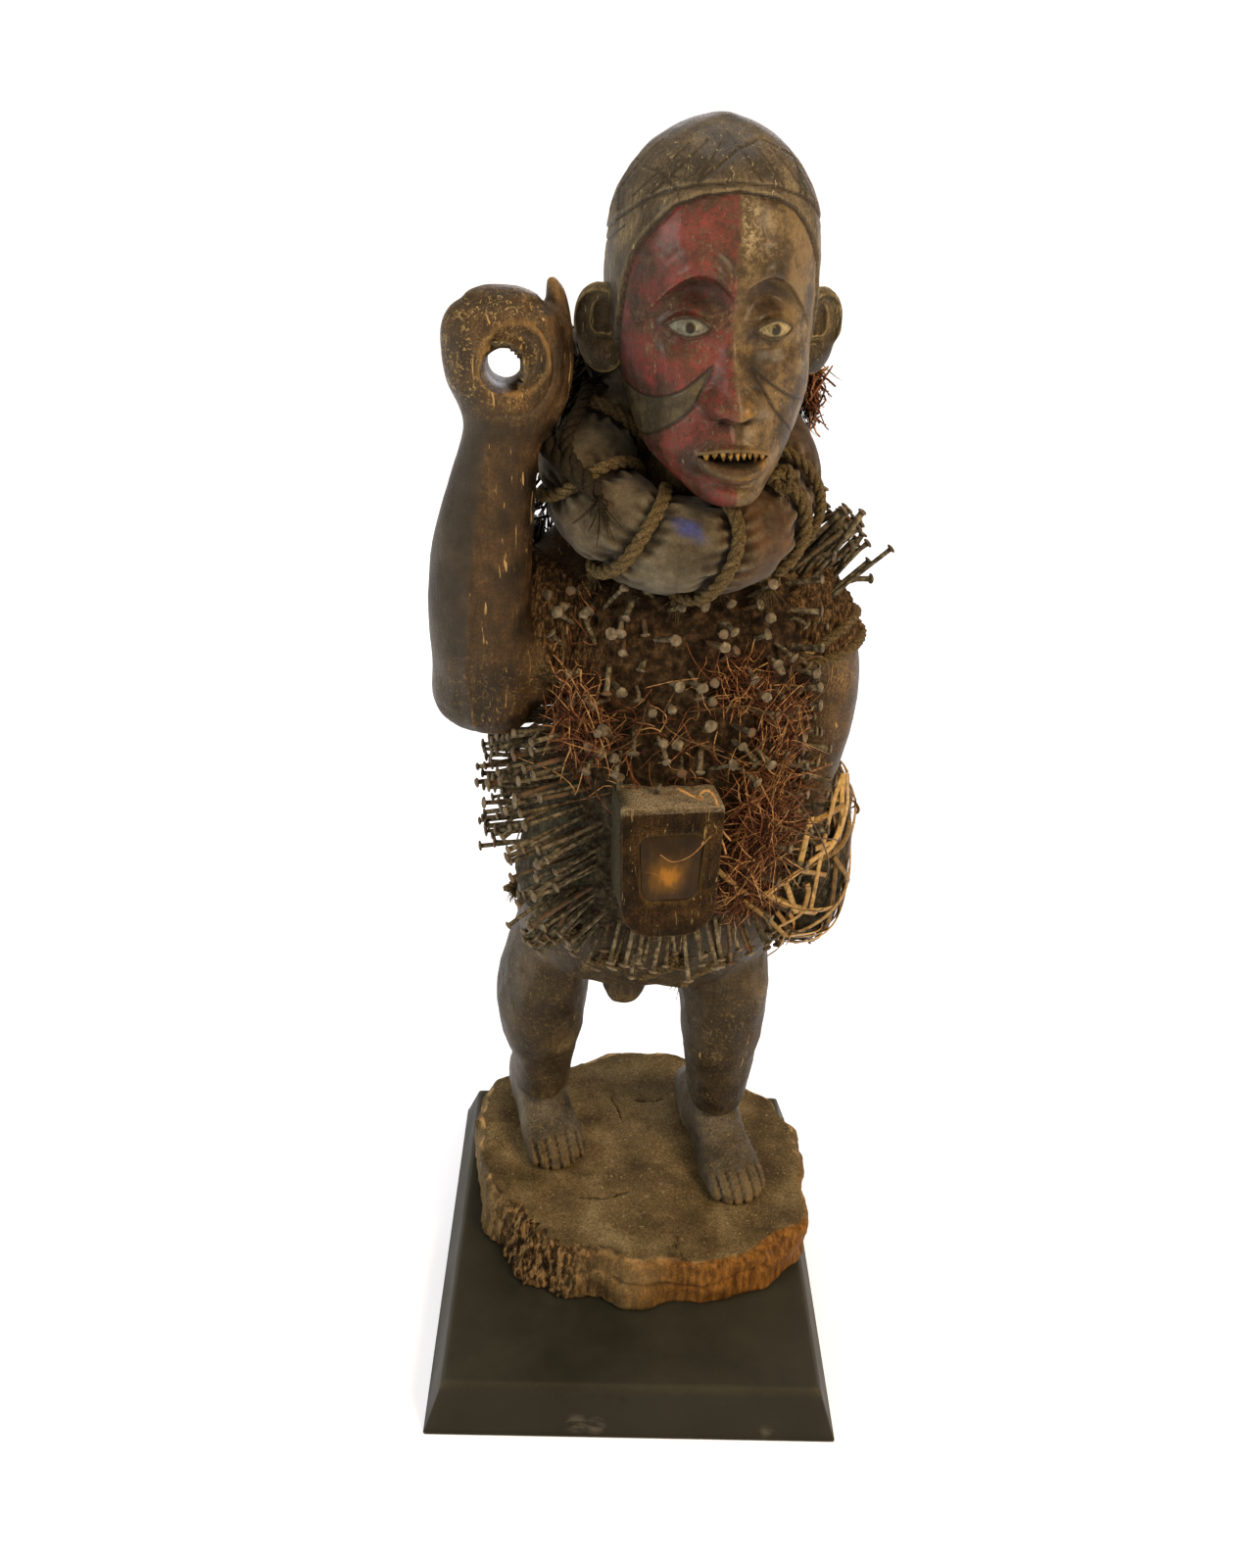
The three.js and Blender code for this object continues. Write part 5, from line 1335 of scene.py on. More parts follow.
straws = [  # in front of the box's corner, in the carver's own millimetres
    [(-19, -146, 588), (-6, -150, 582), (4, -152, 579), (0, -154, 586), (7, -154, 589), (15, -152, 578),
     (17, -152, 561),
     (11, -154, 547), (5, -156, 535)],
    [(16, -150, 576), (17, -148, 549), (25, -146, 533), (31, -144, 516)],
    [(14, -152, 580), (22, -150, 560), (24, -148, 545), (34, -144, 530)],
    [(12, -158, 545), (-6, -166, 531), (-22, -166, 525), (-34, -166, 533)],
]


wireSteps, wireSides, stripSides = 26, 4, 6


def roundTrunk(steps):
    return onTrunk(*smoothRun(steps, np.linspace(0, 1, wireSteps)).T)


wirePaths = np.array([roundTrunk(steps) for steps in longWires])
ribbonPaths = np.array([roundTrunk(steps) for steps in ribbons])
strawPaths = np.array([smoothRun(steps, np.linspace(0, 1, wireSteps)) for steps in straws])
wires = joined(tubes(wirePaths, 0.8, wireSides), tubes(ribbonPaths, 2.4, stripSides, 0, 0.25, [0, 20, 540]),
               tubes(strawPaths, np.array([[1.2], [1.0], [0.9], [0.4]]), stripSides, 0, 0.4, [0, 20, 540]))
wirePiece = makePiece("wires_and_ribbons", wires)
counts = [len(longWires) * wireSides, len(ribbons) * stripSides, len(straws) * stripSides]
addMask(wirePiece, "own", np.repeat([0.35, 1.0, 0.8], np.array(counts) * wireSteps))
wireLook = [(0.0, "#2a2018"), (0.4, "#4d3a26"), (0.75, "#8a6238"), (1.0, "#b0844f")]
finished(wirePiece, raffiaMaterial("pale raffia and wire", wireLook, 0.45))
print("raffia and wires")


# Belly box

def radiusTo(outline, angles):  # distance from the middle to a star-shaped outline in each direction
    around = np.arctan2(outline[:, 1], outline[:, 0])
    order = np.argsort(around)
    return np.interp(angles, around[order], np.hypot(*outline.T)[order], period=2 * np.pi)


def roundedShape(halfTop, halfFoot, top, foot, cornerTop, cornerFoot):  # a closed outline with round corners
    arcs = []
    for x, z, r, start in ((halfTop, top, cornerTop, 0), (-halfTop, top, cornerTop, 90),
                           (-halfFoot, foot, cornerFoot, 180), (halfFoot, foot, cornerFoot, 270)):
        a = np.radians(np.linspace(start, start + 90, 12))
        centre = np.array([x - np.sign(x) * r, z + (r if z < 0 else -r)])
        arcs.append(centre + r * np.stack([np.cos(a), np.sin(a)], -1))
    shape = np.vstack(arcs + [arcs[0][:1]])
    return evenly(np.column_stack([shape, 0 * shape[:, 0]]), 0.5)[0][:, :2]


def boxToFigure(points):  # upright box coordinates: x across, depth behind the front, z down from its top
    lean = math.radians(-boxPlace["lean"])
    x, y, z = np.moveaxis(points, -1, 0)
    front = onTrunk(boxPlace["top"], 0)[1] - boxPlace["deep"]
    return np.stack([x + boxPlace["x"], y * math.cos(lean) - z * math.sin(lean) + front,
                     y * math.sin(lean) + z * math.cos(lean) + boxPlace["top"]], -1)


def buildBox(plan):
    wide, tall, corner = plan["wide"] / 2, plan["tall"], plan["corner"]
    panelWide, panelTall, panelDeep = plan["panel"]
    middle = -0.46 * tall
    outline = roundedShape(wide, wide * (1 - 2 * plan["taper"]), -middle, -tall - middle, 3, corner)
    panel = roundedShape(panelWide / 2, panelWide / 2 - 3, panelTall / 2, -panelTall / 2, 10, 14)
    angles = -np.linspace(0, 2 * np.pi, 221)[:-1]
    outer, inner = radiusTo(outline, angles), radiusTo(panel, angles)
    rows = [(s * inner, panelDeep - 0.3) for s in (0.1, 0.6, 0.97)] + [(inner, d) for d in (7, 5, 3, 1.5)]
    rows += [(inner * 1.05, 0.8), (inner * 1.12, 0.2)]
    rows += [(inner * 1.16 + (outer * 0.975 - inner * 1.16) * s, 0) for s in np.linspace(0.0, 1, 34)]
    rows += [(outer * 0.992, 0.7), (outer, 2.4)] + [(outer, d) for d in np.linspace(4, 84, 28)]
    rings = np.stack([np.stack([r * np.cos(angles), d + 0 * r, r * np.sin(angles) + middle], -1)
                      for r, d in rows])
    flat = rings.reshape(-1, 3)
    onFront = (flat[:, 1] < 1.0) & (flat[:, 1] > -1)
    shape = 0.9 * layered(flat * [1, 1, 0.35], 14, 81) + 0.5 * noise(flat * [1, 1, 0.12], 3, 83)
    face = flat * [1, 0, 1]  # two cuts across it, above and below the panel, and a rise along each side
    shape -= 0.9 * hill(lineDistance(face, [(-40, 0, -15), (0, 0, -17), (42, 0, -14)]), 0.9) * onFront
    shape -= 0.8 * hill(lineDistance(face, [(-34, 0, -98), (0, 0, -101), (30, 0, -97)]), 1.4) * onFront
    shape += 1.4 * hill(lineDistance(face, [(-34, 0, -30), (-33, 0, -92)], [(34, 0, -30), (32, 0, -92)]), 5)
    outward = unit(flat * [1, 0, 1] - [0, 0, middle])
    isSide = ramp(flat[:, 1], 1, 4)[:, None]
    ringCracks = noise(np.stack([flat[:, 0] * 0.15, flat[:, 1], 0 * flat[:, 0]], -1), 5, 87)
    flat = flat + outward * isSide * (0.8 * layered(flat, 12, 85) + 0.5 * ringCracks)[:, None]
    flat[:, 1] -= shape * (1 - isSide[:, 0]) * (flat[:, 1] < 6)
    chips = 1.6 * np.maximum(noise(flat * [1, 0, 0], 7, 89), 0) * hill(flat[:, 1] - 1, 2.5) * (flat[:, 2] > -3)
    flat[:, 2] -= chips
    box = makePiece("belly_box_wood", closedLoft(boxToFigure(flat).reshape(rings.shape)))
    # the top and its front edge are painted paler as light from above, and the side turned to the window
    # grey-olive as its reflection: painted light
    topSide = ramp(flat[:, 2], -4, -0.5) * ramp(flat[:, 1], 0.5, 3)
    addMask(box, "fresh", topSide + 0.5 * hill(flat[:, 1] - 1.5, 2) * (flat[:, 2] > -5))
    addMask(box, "green", hill(flat[:, 0] + 44, 9) * ramp(flat[:, 1], 4, 14))
    addWear(box)
    return box


def boxMaterial():
    # Dry, unoiled board with grain running up the front; its top and top front edge are painted paler as light
    # from above, and the side turned to the window is painted grey-olive as a reflection of it.
    look = dict(limbWood, tones=[(0.34, "#181007"), (0.45, "#2d1f0f"), (0.56, "#453019"), (0.68, "#5e4627")],
                blotch=26, grain=2.6, nickFrom=0.65, nick=3, raw="#7d6a43", rough=(0.5, 0.7), bump=1,
                worn="#46361d",
                dust="#3d301d", speck=0.8, shine=0.1)
    material, tree, shader, (wood, _, grit) = carvedWood("dry box board", look)
    colour = layColours(tree, wood, ((grit, [(0.38, "#5a4d39"), (0.5, "#807159"), (0.62, "#a29376")]), "fresh"),
                        ((grit, [(0.38, "#1d1b13"), (0.5, "#363327"), (0.62, "#534e3c")]), "green"))
    setInputs(tree, shader, {"Base Color": colour})
    return material


finished(buildBox(boxPlace), boxMaterial(), ["belly_box"])


def buildResin(plan):  # a pillow of resin: a grid squared off to the panel, swollen in its middle
    panelWide, panelTall, panelDeep = plan["panel"]
    angles = -np.linspace(0, 2 * np.pi, 97)[:-1]
    edge = radiusTo(roundedShape(panelWide / 2 - 0.4, panelWide / 2 - 3.4, panelTall / 2 - 0.4,
                                 -panelTall / 2 + 0.4, 4, 9), angles)
    share = np.concatenate([np.linspace(0.02, 1, 34), [1.0]])
    r = share[:, None] * edge[None]
    x, z = r * np.cos(angles), r * np.sin(angles)
    swell = 2.2 * (1 - share[:, None] ** 2) + 0.7 * layered(np.stack([x, z, 0 * x], -1), 12, 91)
    cracks = [[(-4, -10), (-14, -4), (-26, -2)], [(-4, -10), (6, 4), (10, 20)], [(-4, -10), (4, -20), (2, -30)]]
    near = lineDistance(np.stack([x, z], -1), *cracks)
    depth = plan["sink"] + 1.2 - swell + 0.4 * hill(near, 0.6)
    depth[-1] = panelDeep - 0.5
    rings = np.stack([x, depth, z - 0.46 * plan["tall"]], -1)
    resin = makePiece("resin_seal", closedLoft(boxToFigure(rings)))
    # a painted pool of reflected light in the middle of the seal, and its cracks painted pale near it as a
    # painted glint
    spot = np.hypot(x + 3, z + 6) / 36
    addMask(resin, "glow", np.append(hill(spot, 0.5).ravel(), [1, 0]))
    addMask(resin, "crack", hill(near, 0.5) * hill(spot, 0.5))
    return resin


def resinMaterial():
    # Old tree resin, thick and glossy, brown-black where grime has sunk in; the amber in its middle is a
    # painted glow of reflected light that fades to dark towards the recess's edges, and the pale lines on its
    # cracks are a painted glint.
    material, tree, shader, (_, cloud) = startMaterial("glossy amber resin", (120, 6, 0.65, 0, 1, 1, 0.3))
    glow = addNode(tree, "Attribute", {}, output="Fac", attribute_name="glow")
    blend = addNode(tree, "Math", {0: cloud, 1: glow}, operation="ADD")
    blend = addNode(tree, "MapRange", {"Value": blend, "From Min": 0.35, "From Max": 1.45})
    tones = [(0.0, "#160f07"), (0.4, "#33230f"), (0.75, "#583c13"), (1.0, "#8b5c1c")]
    colour = layColours(tree, (blend, tones), ("#8f6230", "crack", cloud))
    bump = addNode(tree, "Bump", {"Height": cloud, "Strength": 0.35, "Distance": 0.001})
    setInputs(tree, shader, {"Base Color": colour, "Roughness": 0.46, "Specular IOR Level": 0.12,
                             "Coat Weight": 0.07,
                             "Coat Roughness": 0.3, "Normal": bump})
    return material


finished(buildResin(boxPlace), resinMaterial(), ["box_resin"])
print("box and resin")


# Collar: a stuffed ring round the neck; degrees run round it from the front, turn runs round the stuffing

collarPlan = {"place": (-4, -3, 823), "radius": 82, "thick": 90, "tilt": 33, "pinch": 8, "cap": 14,
              "bindings": [-78, -36, 6, 46, 64, 118, 172, -128], "slant": 13, "rope": 5.5}


def onCollar(degrees, turn, out=0, thick=None):
    plan = collarPlan
    thick = plan["thick"] / 2 + out if thick is None else thick + out
    reach = plan["radius"] + thick * np.cos(turn)
    a, tilt = np.radians(degrees), math.radians(plan["tilt"])
    x, y, z = reach * np.sin(a), -reach * np.cos(a), thick * np.sin(turn) + 0 * a
    placed = np.stack([x, y * math.cos(tilt) - z * math.sin(tilt), y * math.sin(tilt) + z * math.cos(tilt)], -1)
    return placed + plan["place"]


def collarAngles(own):  # the degrees round the ring and the turn round the stuffing
    x, y, z = (own - collarPlan["place"]).T
    tilt = math.radians(collarPlan["tilt"])
    y, z = y * math.cos(tilt) + z * math.sin(tilt), z * math.cos(tilt) - y * math.sin(tilt)
    reach = np.hypot(x, y) - collarPlan["radius"]
    return np.degrees(np.arctan2(x, -y)), np.arctan2(z, reach)


def bindingGap(degrees, turn):  # least angle to any rope, which crosses aslant, and which rope it is
    gaps = np.stack([turnBetween(at + collarPlan["slant"] * np.sin(turn), degrees)
                     for at in collarPlan["bindings"]])
    nearest = np.argmin(np.abs(gaps), axis=0)
    return np.take_along_axis(gaps, nearest[None], 0)[0], nearest


def swollen(thing, pinned, cap):  # the padded recipe: cloth with pressure, gravity off, the move capped
    group = thing.vertex_groups.new(name="bound")
    for i in np.flatnonzero(pinned > 0.05):
        group.add([int(i)], float(pinned[i]), "REPLACE")
    before, _ = readMesh(thing)
    cloth = thing.modifiers.new("stuffing", "CLOTH").settings
    for key, value in {"quality": 5, "mass": 0.3, "tension_stiffness": 12, "compression_stiffness": 12,
                       "bending_stiffness": 0.4, "use_pressure": True, "uniform_pressure_force": 4,
                       "vertex_group_mass": "bound"}.items():
        setattr(cloth, key, value)
    cloth.effector_weights.gravity = 0
    for step in range(1, 21):
        bpy.context.scene.frame_set(step)
    graph = bpy.context.evaluated_depsgraph_get()
    thing.data = bpy.data.meshes.new_from_object(thing.evaluated_get(graph))
    thing.modifiers.clear()
    bpy.context.scene.frame_set(1)
    after, _ = readMesh(thing)
    move = after - before
    size = np.linalg.norm(move, axis=1, keepdims=True)
    writePlaces(thing, before + move * np.minimum(1, cap / np.maximum(size, 1e-6)))


def buildCollar(plan):
    degrees, turn = np.meshgrid(np.linspace(-180, 180, 181)[:-1], np.linspace(0, 2 * np.pi, 85)[:-1],
                                indexing="ij")
    gap, _ = bindingGap(degrees, turn)
    thick = plan["thick"] / 2 - 2.5 - plan["pinch"] * hill(gap, 7)
    rings = onCollar(degrees, turn, 0, thick)
    collar = makePiece("stuffed_collar", (rings.reshape(-1, 3), [gridFaces(180, 84, True)[:, ::-1]]))
    applied(collar, ("REMESH", {"mode": "VOXEL", "voxel_size": 0.0045}))
    around, turned = collarAngles(fromWorld(readMesh(collar)[0]))
    gap, _ = bindingGap(around, turned)
    swollen(collar, np.clip(1.4 * hill(gap, 3.2), 0, 1), plan["cap"])
    applied(collar, ("SUBSURF", {"levels": 1, "render_levels": 1}))
    places, normals = readMesh(collar)
    own = fromWorld(places)
    around, turned = collarAngles(own)
    gap, which = bindingGap(around, turned)
    lift = -3.2 * hill(gap, 2.6)
    folds = (np.sin(turned * 11 + which * 1.7 + 2.5 * noise(own, 30, 101))
             + 0.6 * np.sin(turned * 23 + which * 3.1))
    lift += 2.1 * folds * hill(np.abs(gap) - 4, 6.5) * (np.abs(gap) > 1.5)
    lift += 2.0 * layered(own, 42, 103) + 0.8 * layered(own, 13, 105) + 0.22 * layered(own, 3.5, 107, 2)
    seam = lineDistance(own, onCollar(np.linspace(-70, -10, 40), np.radians(np.linspace(100, 60, 40)), 2))
    lift -= 1.4 * hill(seam, 1.5)
    writePlaces(collar, places + normals * lift[:, None])
    rough = layered(own, 12, 109)
    aside = turnBetween(-8, around)
    addMask(collar, "blue", hill(aside + 5 * rough, 11)
            * hill(np.degrees(turned) - 72 + 8 * rough + 0.8 * aside, 13))
    addMask(collar, "brown", ramp(around, 4, 12) + 0.5 * hill(around + 60, 20))
    # darker in the creases at the ropes and along the underside: painted shade
    addMask(collar, "dirt", np.clip(hill(gap, 6) + 0.5 * ramp(-np.sin(turned), -0.2, 0.9), 0, 1))
    addWear(collar, 3)
    return collar


clothLook = {"cloth": [(0.36, "#2a2318"), (0.47, "#453d2d"), (0.57, "#595140"), (0.68, "#756c57")],
             "brown": [(0.36, "#1c1108"), (0.5, "#352210"), (0.66, "#523820")], "blue": "#3a4170",
             "dirt": "#1a140d",
             "worn": "#857b62"}


def clothMaterial(look):
    # Coarse cotton gone stiff with grime: plain weave, a millimetre a thread, with brown and blue patches, and
    # painted shade in the creases at the ropes, on its underside and in its hollows.
    material, tree, shader, (place, cloud, fleck) = startMaterial("dirty stuffed cotton", (26, 7, 0.65, 0),
                                                                  (420, 4, 0.7, 0))
    colour = layColours(tree, (cloud, look["cloth"]), ((cloud, look["brown"]), "brown"),
                        (look["worn"], "edge", fleck),
                        (look["blue"], "blue", fleck, (0.1, 0.5)), (look["dirt"], "dirt", cloud),
                        (look["dirt"], "cavity", cloud))
    shade = addNode(tree, "MapRange", {"Value": fleck, "From Min": 0.3, "From Max": 0.7, "To Min": 0.78,
                                       "To Max": 1.12})
    colour = addNode(tree, "MixRGB", {"Fac": 1.0, "Color1": colour, "Color2": shade}, blend_type="MULTIPLY")
    weave, thread = (addNode(tree, "TexWave", {"Vector": place, "Scale": 290, "Distortion": 0.6}, output="Fac",
                             bands_direction=axis) for axis in ("X", "Z"))
    for part in (thread, fleck):
        weave = addNode(tree, "Math", {0: weave, 1: part}, operation="ADD")
    bump = addNode(tree, "Bump", {"Height": weave, "Strength": 0.4, "Distance": 0.0005})
    setInputs(tree, shader, {"Base Color": colour, "Roughness": 0.74, "Sheen Weight": 0.12, "Normal": bump})
    return material


collar = finished(buildCollar(collarPlan), clothMaterial(clothLook), ["collar"])
print("collar")


# dark: the painted shade between the strands
ropeLook = {"tones": [(0.32, "#1f180f"), (0.46, "#40341f"), (0.58, "#655538"), (0.72, "#857452")],
            "dark": "#0c0906"}


def ropeMaterial(name, look):
    # Hand-twisted plant fibre, greasy and grey-brown, painted darker down between the strands as painted shade.
    material, tree, shader, (_, fibre) = startMaterial(name, (480, 5, 0.7, 1.5))
    # the hollows between the strands are painted dark: painted shade
    colour = layColours(tree, (fibre, look["tones"]), (look["dark"], "cavity"))
    bump = addNode(tree, "Bump", {"Height": fibre, "Strength": 0.7, "Distance": 0.0012})
    setInputs(tree, shader, {"Base Color": colour, "Roughness": 0.8, "Normal": bump})
    return material


def knot(place, size, radius, turnBy=0):  # an overhand knot: sin t + 2 sin 2t, cos t - 2 cos 2t, -sin 3t
    t = np.linspace(0.3, 2 * np.pi + 0.1, 60)
    loop = (np.stack([np.sin(t) + 2 * np.sin(2 * t), -1.1 * np.sin(3 * t), np.cos(t) - 2 * np.cos(2 * t)], -1)
            * size / 3)
    c, s = math.cos(turnBy), math.sin(turnBy)
    loop = loop @ np.array([[c, 0, s], [0, 1, 0], [-s, 0, c]])
    return twisted(loop + place, radius)


def frayed(place, aim, count, length, seed):  # loose fibres fanning from a rope's end
    rng = np.random.default_rng(seed)
    t = np.linspace(0, 1, 6)[None, :, None]
    way = unit(np.array(aim) + rng.normal(0, 0.35, (count, 3)))[:, None]
    sag = rng.normal(0, 0.3, (count, 1, 3)) + [0, 0, -0.3]
    path = (np.array(place) + rng.normal(0, 1.2, (count, 1, 3)) + length * rng.uniform(0.6, 1.1, (count, 1, 1))
            * (way * t + sag * t * t))
    return tubes(path, np.linspace(0.8, 0.35, 6)[None], 3)


def buildBindings(plan):
    shapes = []
    for number, at in enumerate(plan["bindings"]):
        turn = np.linspace(0, 2 * np.pi, 90) - 0.6
        wander = 1.5 * np.sin(2 * turn + number) + 1.2 * np.sin(3 * turn + 2 * number)
        path = onCollar(at + plan["slant"] * np.sin(turn) + wander, turn, plan["rope"] * 0.5,
                        plan["thick"] / 2 - 4)
        shapes.append(twisted(path, plan["rope"] + 0.6 * math.sin(number)))
    for at, low in ((-36, -58), (6, -66), (46, -40)):
        end = onCollar(at - 10, math.radians(low), 4)
        shapes += [knot(end, 8, 3.4, at), frayed(end, (-0.3, -0.4, -0.8), 26, 17, int(at + 90))]
    top = onCollar(52, math.radians(84), 8)
    shapes += [knot(top, 10, 4, 0.4), frayed(top, (0.5, -0.5, -0.2), 16, 16, 5)]
    return joined(*shapes)


ropeFibre = ropeMaterial("twisted plant fibre", ropeLook)
bindings = makePiece("collar_bindings", buildBindings(collarPlan))
addWear(bindings, 1)
finished(bindings, ropeFibre, ["collar_rope_%d" % n for n in range(1, 9)])

hipRopePlan = {"radius": 6.5, "pieces": [
    [(352, -55), (368, -46), (384, -37)], [(330, -34), (341, -28), (353, -21)],
    [(318, -10), (331, -4), (346, 2)],
    [(336, 22), (322, 12), (306, 9)], [(352, 62), (350, 80), (356, 98), (354, 116), (358, 136)],
    [(356, 150), (350, 172), (356, 196), (352, 220)], [(360, 222), (354, 240), (364, 258)]]}


def buildHipRope(plan):  # what is left of a rope round the hips: knotted pieces as (height, degrees) steps
    shapes = []
    for number, steps in enumerate(plan["pieces"]):
        way = smoothRun(steps, np.linspace(0, 1, 40))
        path = onTrunk(way[:, 0] + 1.5 * np.sin(way[:, 1] * 0.4), way[:, 1], plan["radius"] * 0.7)
        shapes.append(twisted(path, plan["radius"]))
        shapes.append(knot(path[-2], 10, 3.6, number * 0.8))
        shapes.append(frayed(path[-1], path[-1] - path[-4], 20, 20, number + 31))
        shapes.append(frayed(path[0], path[0] - path[3], 16, 16, number + 51))
    loop = np.linspace(0, 2 * np.pi, 40)
    centre = onTrunk(347, -57, 5)
    ring = centre + np.stack([8 * np.cos(loop), -3 * np.sin(loop), 9 * np.sin(loop)], -1)
    shapes.append(tubes(ring[None], 1.0, 5))
    return joined(*shapes)


hipRope = makePiece("hip_rope_remnants", buildHipRope(hipRopePlan))
addWear(hipRope, 1)
finished(hipRope, ropeFibre, ["hip_rope"])
print("ropes")


# Each tuft: middle, spread, aim, how many blades, their lengths and thicknesses
darkTufts = [
    ((-98, 26, 894), (14, 12, 26), (0.3, 0.3, 0.5), 120, (30, 52), (2, 4.6)),
    ((-112, 24, 812), (12, 12, 40), (0.35, 0.2, 0.7), 90, (30, 64), (1.6, 4)),
    ((-126, 22, 750), (8, 10, 26), (0.1, 0.2, 0.9), 40, (28, 56), (1.4, 3.4)),
    ((112, 30, 880), (9, 8, 18), (0.3, 0, -0.8), 46, (24, 60), (0.7, 1.6)),
]


def buildBlades(plan):  # stiff quills and split blades standing about one way, each a little bent
    rng = np.random.default_rng(23)
    t = np.linspace(0, 1, 9)[None, :, None]
    shapes = []
    for at, spread, towards, count, lengths, thick in plan:
        start = np.array(at) + rng.normal(0, 0.6, (count, 3)) * spread
        aim = unit(np.array(towards) + rng.normal(0, 0.38, (count, 3)))[:, None]
        length = rng.uniform(*lengths, (count, 1, 1))
        path = start[:, None] + length * (aim * (t - 0.5) + rng.normal(0, 0.25, (count, 1, 3)) * (t - 0.5) ** 2)
        radii = rng.uniform(*thick, (count, 1)) * np.array([0.5, 0.9, 1, 1, 1, 0.9, 0.8, 0.5, 0.15])
        shapes.append(tubes(path, radii, 5, 0, 0.35))
    return joined(*shapes)


def bladeMaterial():
    # Dark quills and horn-like blades: nearly black, polished, with faint lengthwise streaks.
    material, tree, shader, (_, streak) = startMaterial("polished dark quills", (160, 4, 0.5, 0))
    colour = layColours(tree, (streak, [(0.35, "#070707"), (0.6, "#15130f"), (0.8, "#2a241b")]))
    setInputs(tree, shader, {"Base Color": colour, "Roughness": 0.3})
    return material


finished(makePiece("dark_quills", buildBlades(darkTufts)), bladeMaterial())


def buildGolden():  # dry golden fibre hanging behind the other ear
    rng = np.random.default_rng(29)
    count = 90
    t = np.linspace(0, 1, 8)[None, :, None]
    start = np.array([113, 24, 890]) + rng.normal(0, 0.6, (count, 3)) * [5, 7, 18]
    wild = unit(0.3 * rng.normal(size=(count, 3)) + [0.2, 0, -1])[:, None]
    curl = (rng.normal(0, 0.5, (count, 1, 3)) * (t - 0.5) ** 2 + rng.normal(0, 0.08, (count, 1, 3))
            * np.sin(9 * t))
    path = start[:, None] + rng.uniform(16, 42, (count, 1, 1)) * (wild * (t - 0.5) + curl)
    golden = makePiece("golden_fibre", tubes(path, rng.uniform(0.5, 1.2, (count, 1)), 3))
    addShades(golden, rng.uniform(0.2, 0.9, count))
    return golden


finished(buildGolden(), raffiaFibre)


def buildDarkCord():  # a thick plaited cord along the collar's outer edge, on the raised arm's side and behind
    around = np.linspace(-52, -190, 90)
    path = onCollar(around, np.radians(52 + 12 * np.sin(around * 0.08)), 5)
    second = onCollar(around[10:80], np.radians(70 + 8 * np.sin(around[10:80] * 0.1)), 6)
    return joined(twisted(path, 8.5, 40), twisted(second, 6, 30),
                  frayed(path[0], (0.2, -0.5, -0.6), 30, 22, 61))


# dark: the painted shade between the strands of the cord
darkLook = {"tones": [(0.32, "#0d0b08"), (0.46, "#1a160f"), (0.6, "#2b2419"), (0.76, "#453a28")],
            "dark": "#050403"}
darkCord = makePiece("dark_cord", buildDarkCord())
addWear(darkCord, 1)
finished(darkCord, ropeMaterial("dark plaited cord", darkLook))
print("quills, golden fibre and dark cord")


# Fibre wraps on the upper arms

wrapRows = {
    "raised": [[-92, 10, 726, 46, 45], [-112, 3, 698, 48, 46], [-132, -6, 668, 48, 46],
               [-146, -15, 644, 44, 43]],
    "shoulder": [[90, 13, 712, 44, 45], [106, 12, 698, 45, 46], [130, 10, 668, 43, 45], [138, 9, 650, 41, 44]],
}


def matted(name, rings, made, masks, swell=0):  # a closed sleeve raised outwards from its rings' middles
    flat = rings.reshape(-1, 3)
    out = unit(flat - np.repeat(rings.mean(1), rings.shape[1], 0))
    thing = makePiece(name, closedLoft((flat + out * made[:, None] + swell).reshape(rings.shape)))
    for mask in ("bark", "chest", "belly"):
        addMask(thing, mask, np.full(len(flat), masks.get(mask, 0)))
    addWear(thing, 2)
    return thing


def buildWrap(name, rows, seed, clod):  # clods and strands raised on the arm's own section
    rings = limbRings(rows, sides=160, steps=88, grow=6)
    flat = rings.reshape(-1, 3)
    share = np.repeat(np.linspace(0, 1, 88), 160)
    made = clod * (0.55 - nearestCell(flat, 8, seed)) + 2.4 * layered(flat, 13, seed + 2)
    made += 1.6 * noise(flat * [1, 1, 0.2], 3.6, seed + 4) - 6 * hill(share, 0.03) - 6 * hill(1 - share, 0.03)
    return matted(name, rings, made, {"bark": 0.9})


# cords wound round an arm, each at its share of the length and slope
def windings(rows, spans, radius, grow, seed):
    rng = np.random.default_rng(seed)
    rings = limbRings(rows, sides=72, steps=60, grow=grow)
    shapes = []
    for level, slope in spans:
        around = np.linspace(0, 1, 73)[:-1]
        row = np.clip((level + slope * np.sin(2 * np.pi * around + rng.uniform(0, 6))) * 59, 0, 58.9)
        low, w = row.astype(int), (row % 1)[:, None]
        column = np.arange(72)
        path = rings[low, column] * (1 - w) + rings[low + 1, column] * w
        shapes.append(twisted(np.vstack([path, path[:2]]), radius * rng.uniform(0.85, 1.15)))
    return shapes


finished(buildWrap("raised_arm_fibre", wrapRows["raised"], 131, 3.4), crustSkin, ["raised_arm_wrap"])
finished(buildWrap("shoulder_fibre", wrapRows["shoulder"], 141, 5), crustSkin, ["shoulder_wrap"])
shoulderCords = windings(wrapRows["shoulder"], [(0.72, 0.08), (0.84, 0.06), (0.93, 0.05)], 4.2, 6.5, 1)
raisedCords = windings(wrapRows["raised"], [(0.82, 0.08), (0.93, 0.05)], 4, 6.5, 2)
armCords = makePiece("arm_cords", joined(*shoulderCords, *raisedCords))
addWear(armCords, 1)
finished(armCords, ropeFibre)
print("wraps")


# Hip bundle: dark lumps in a cage of split cane

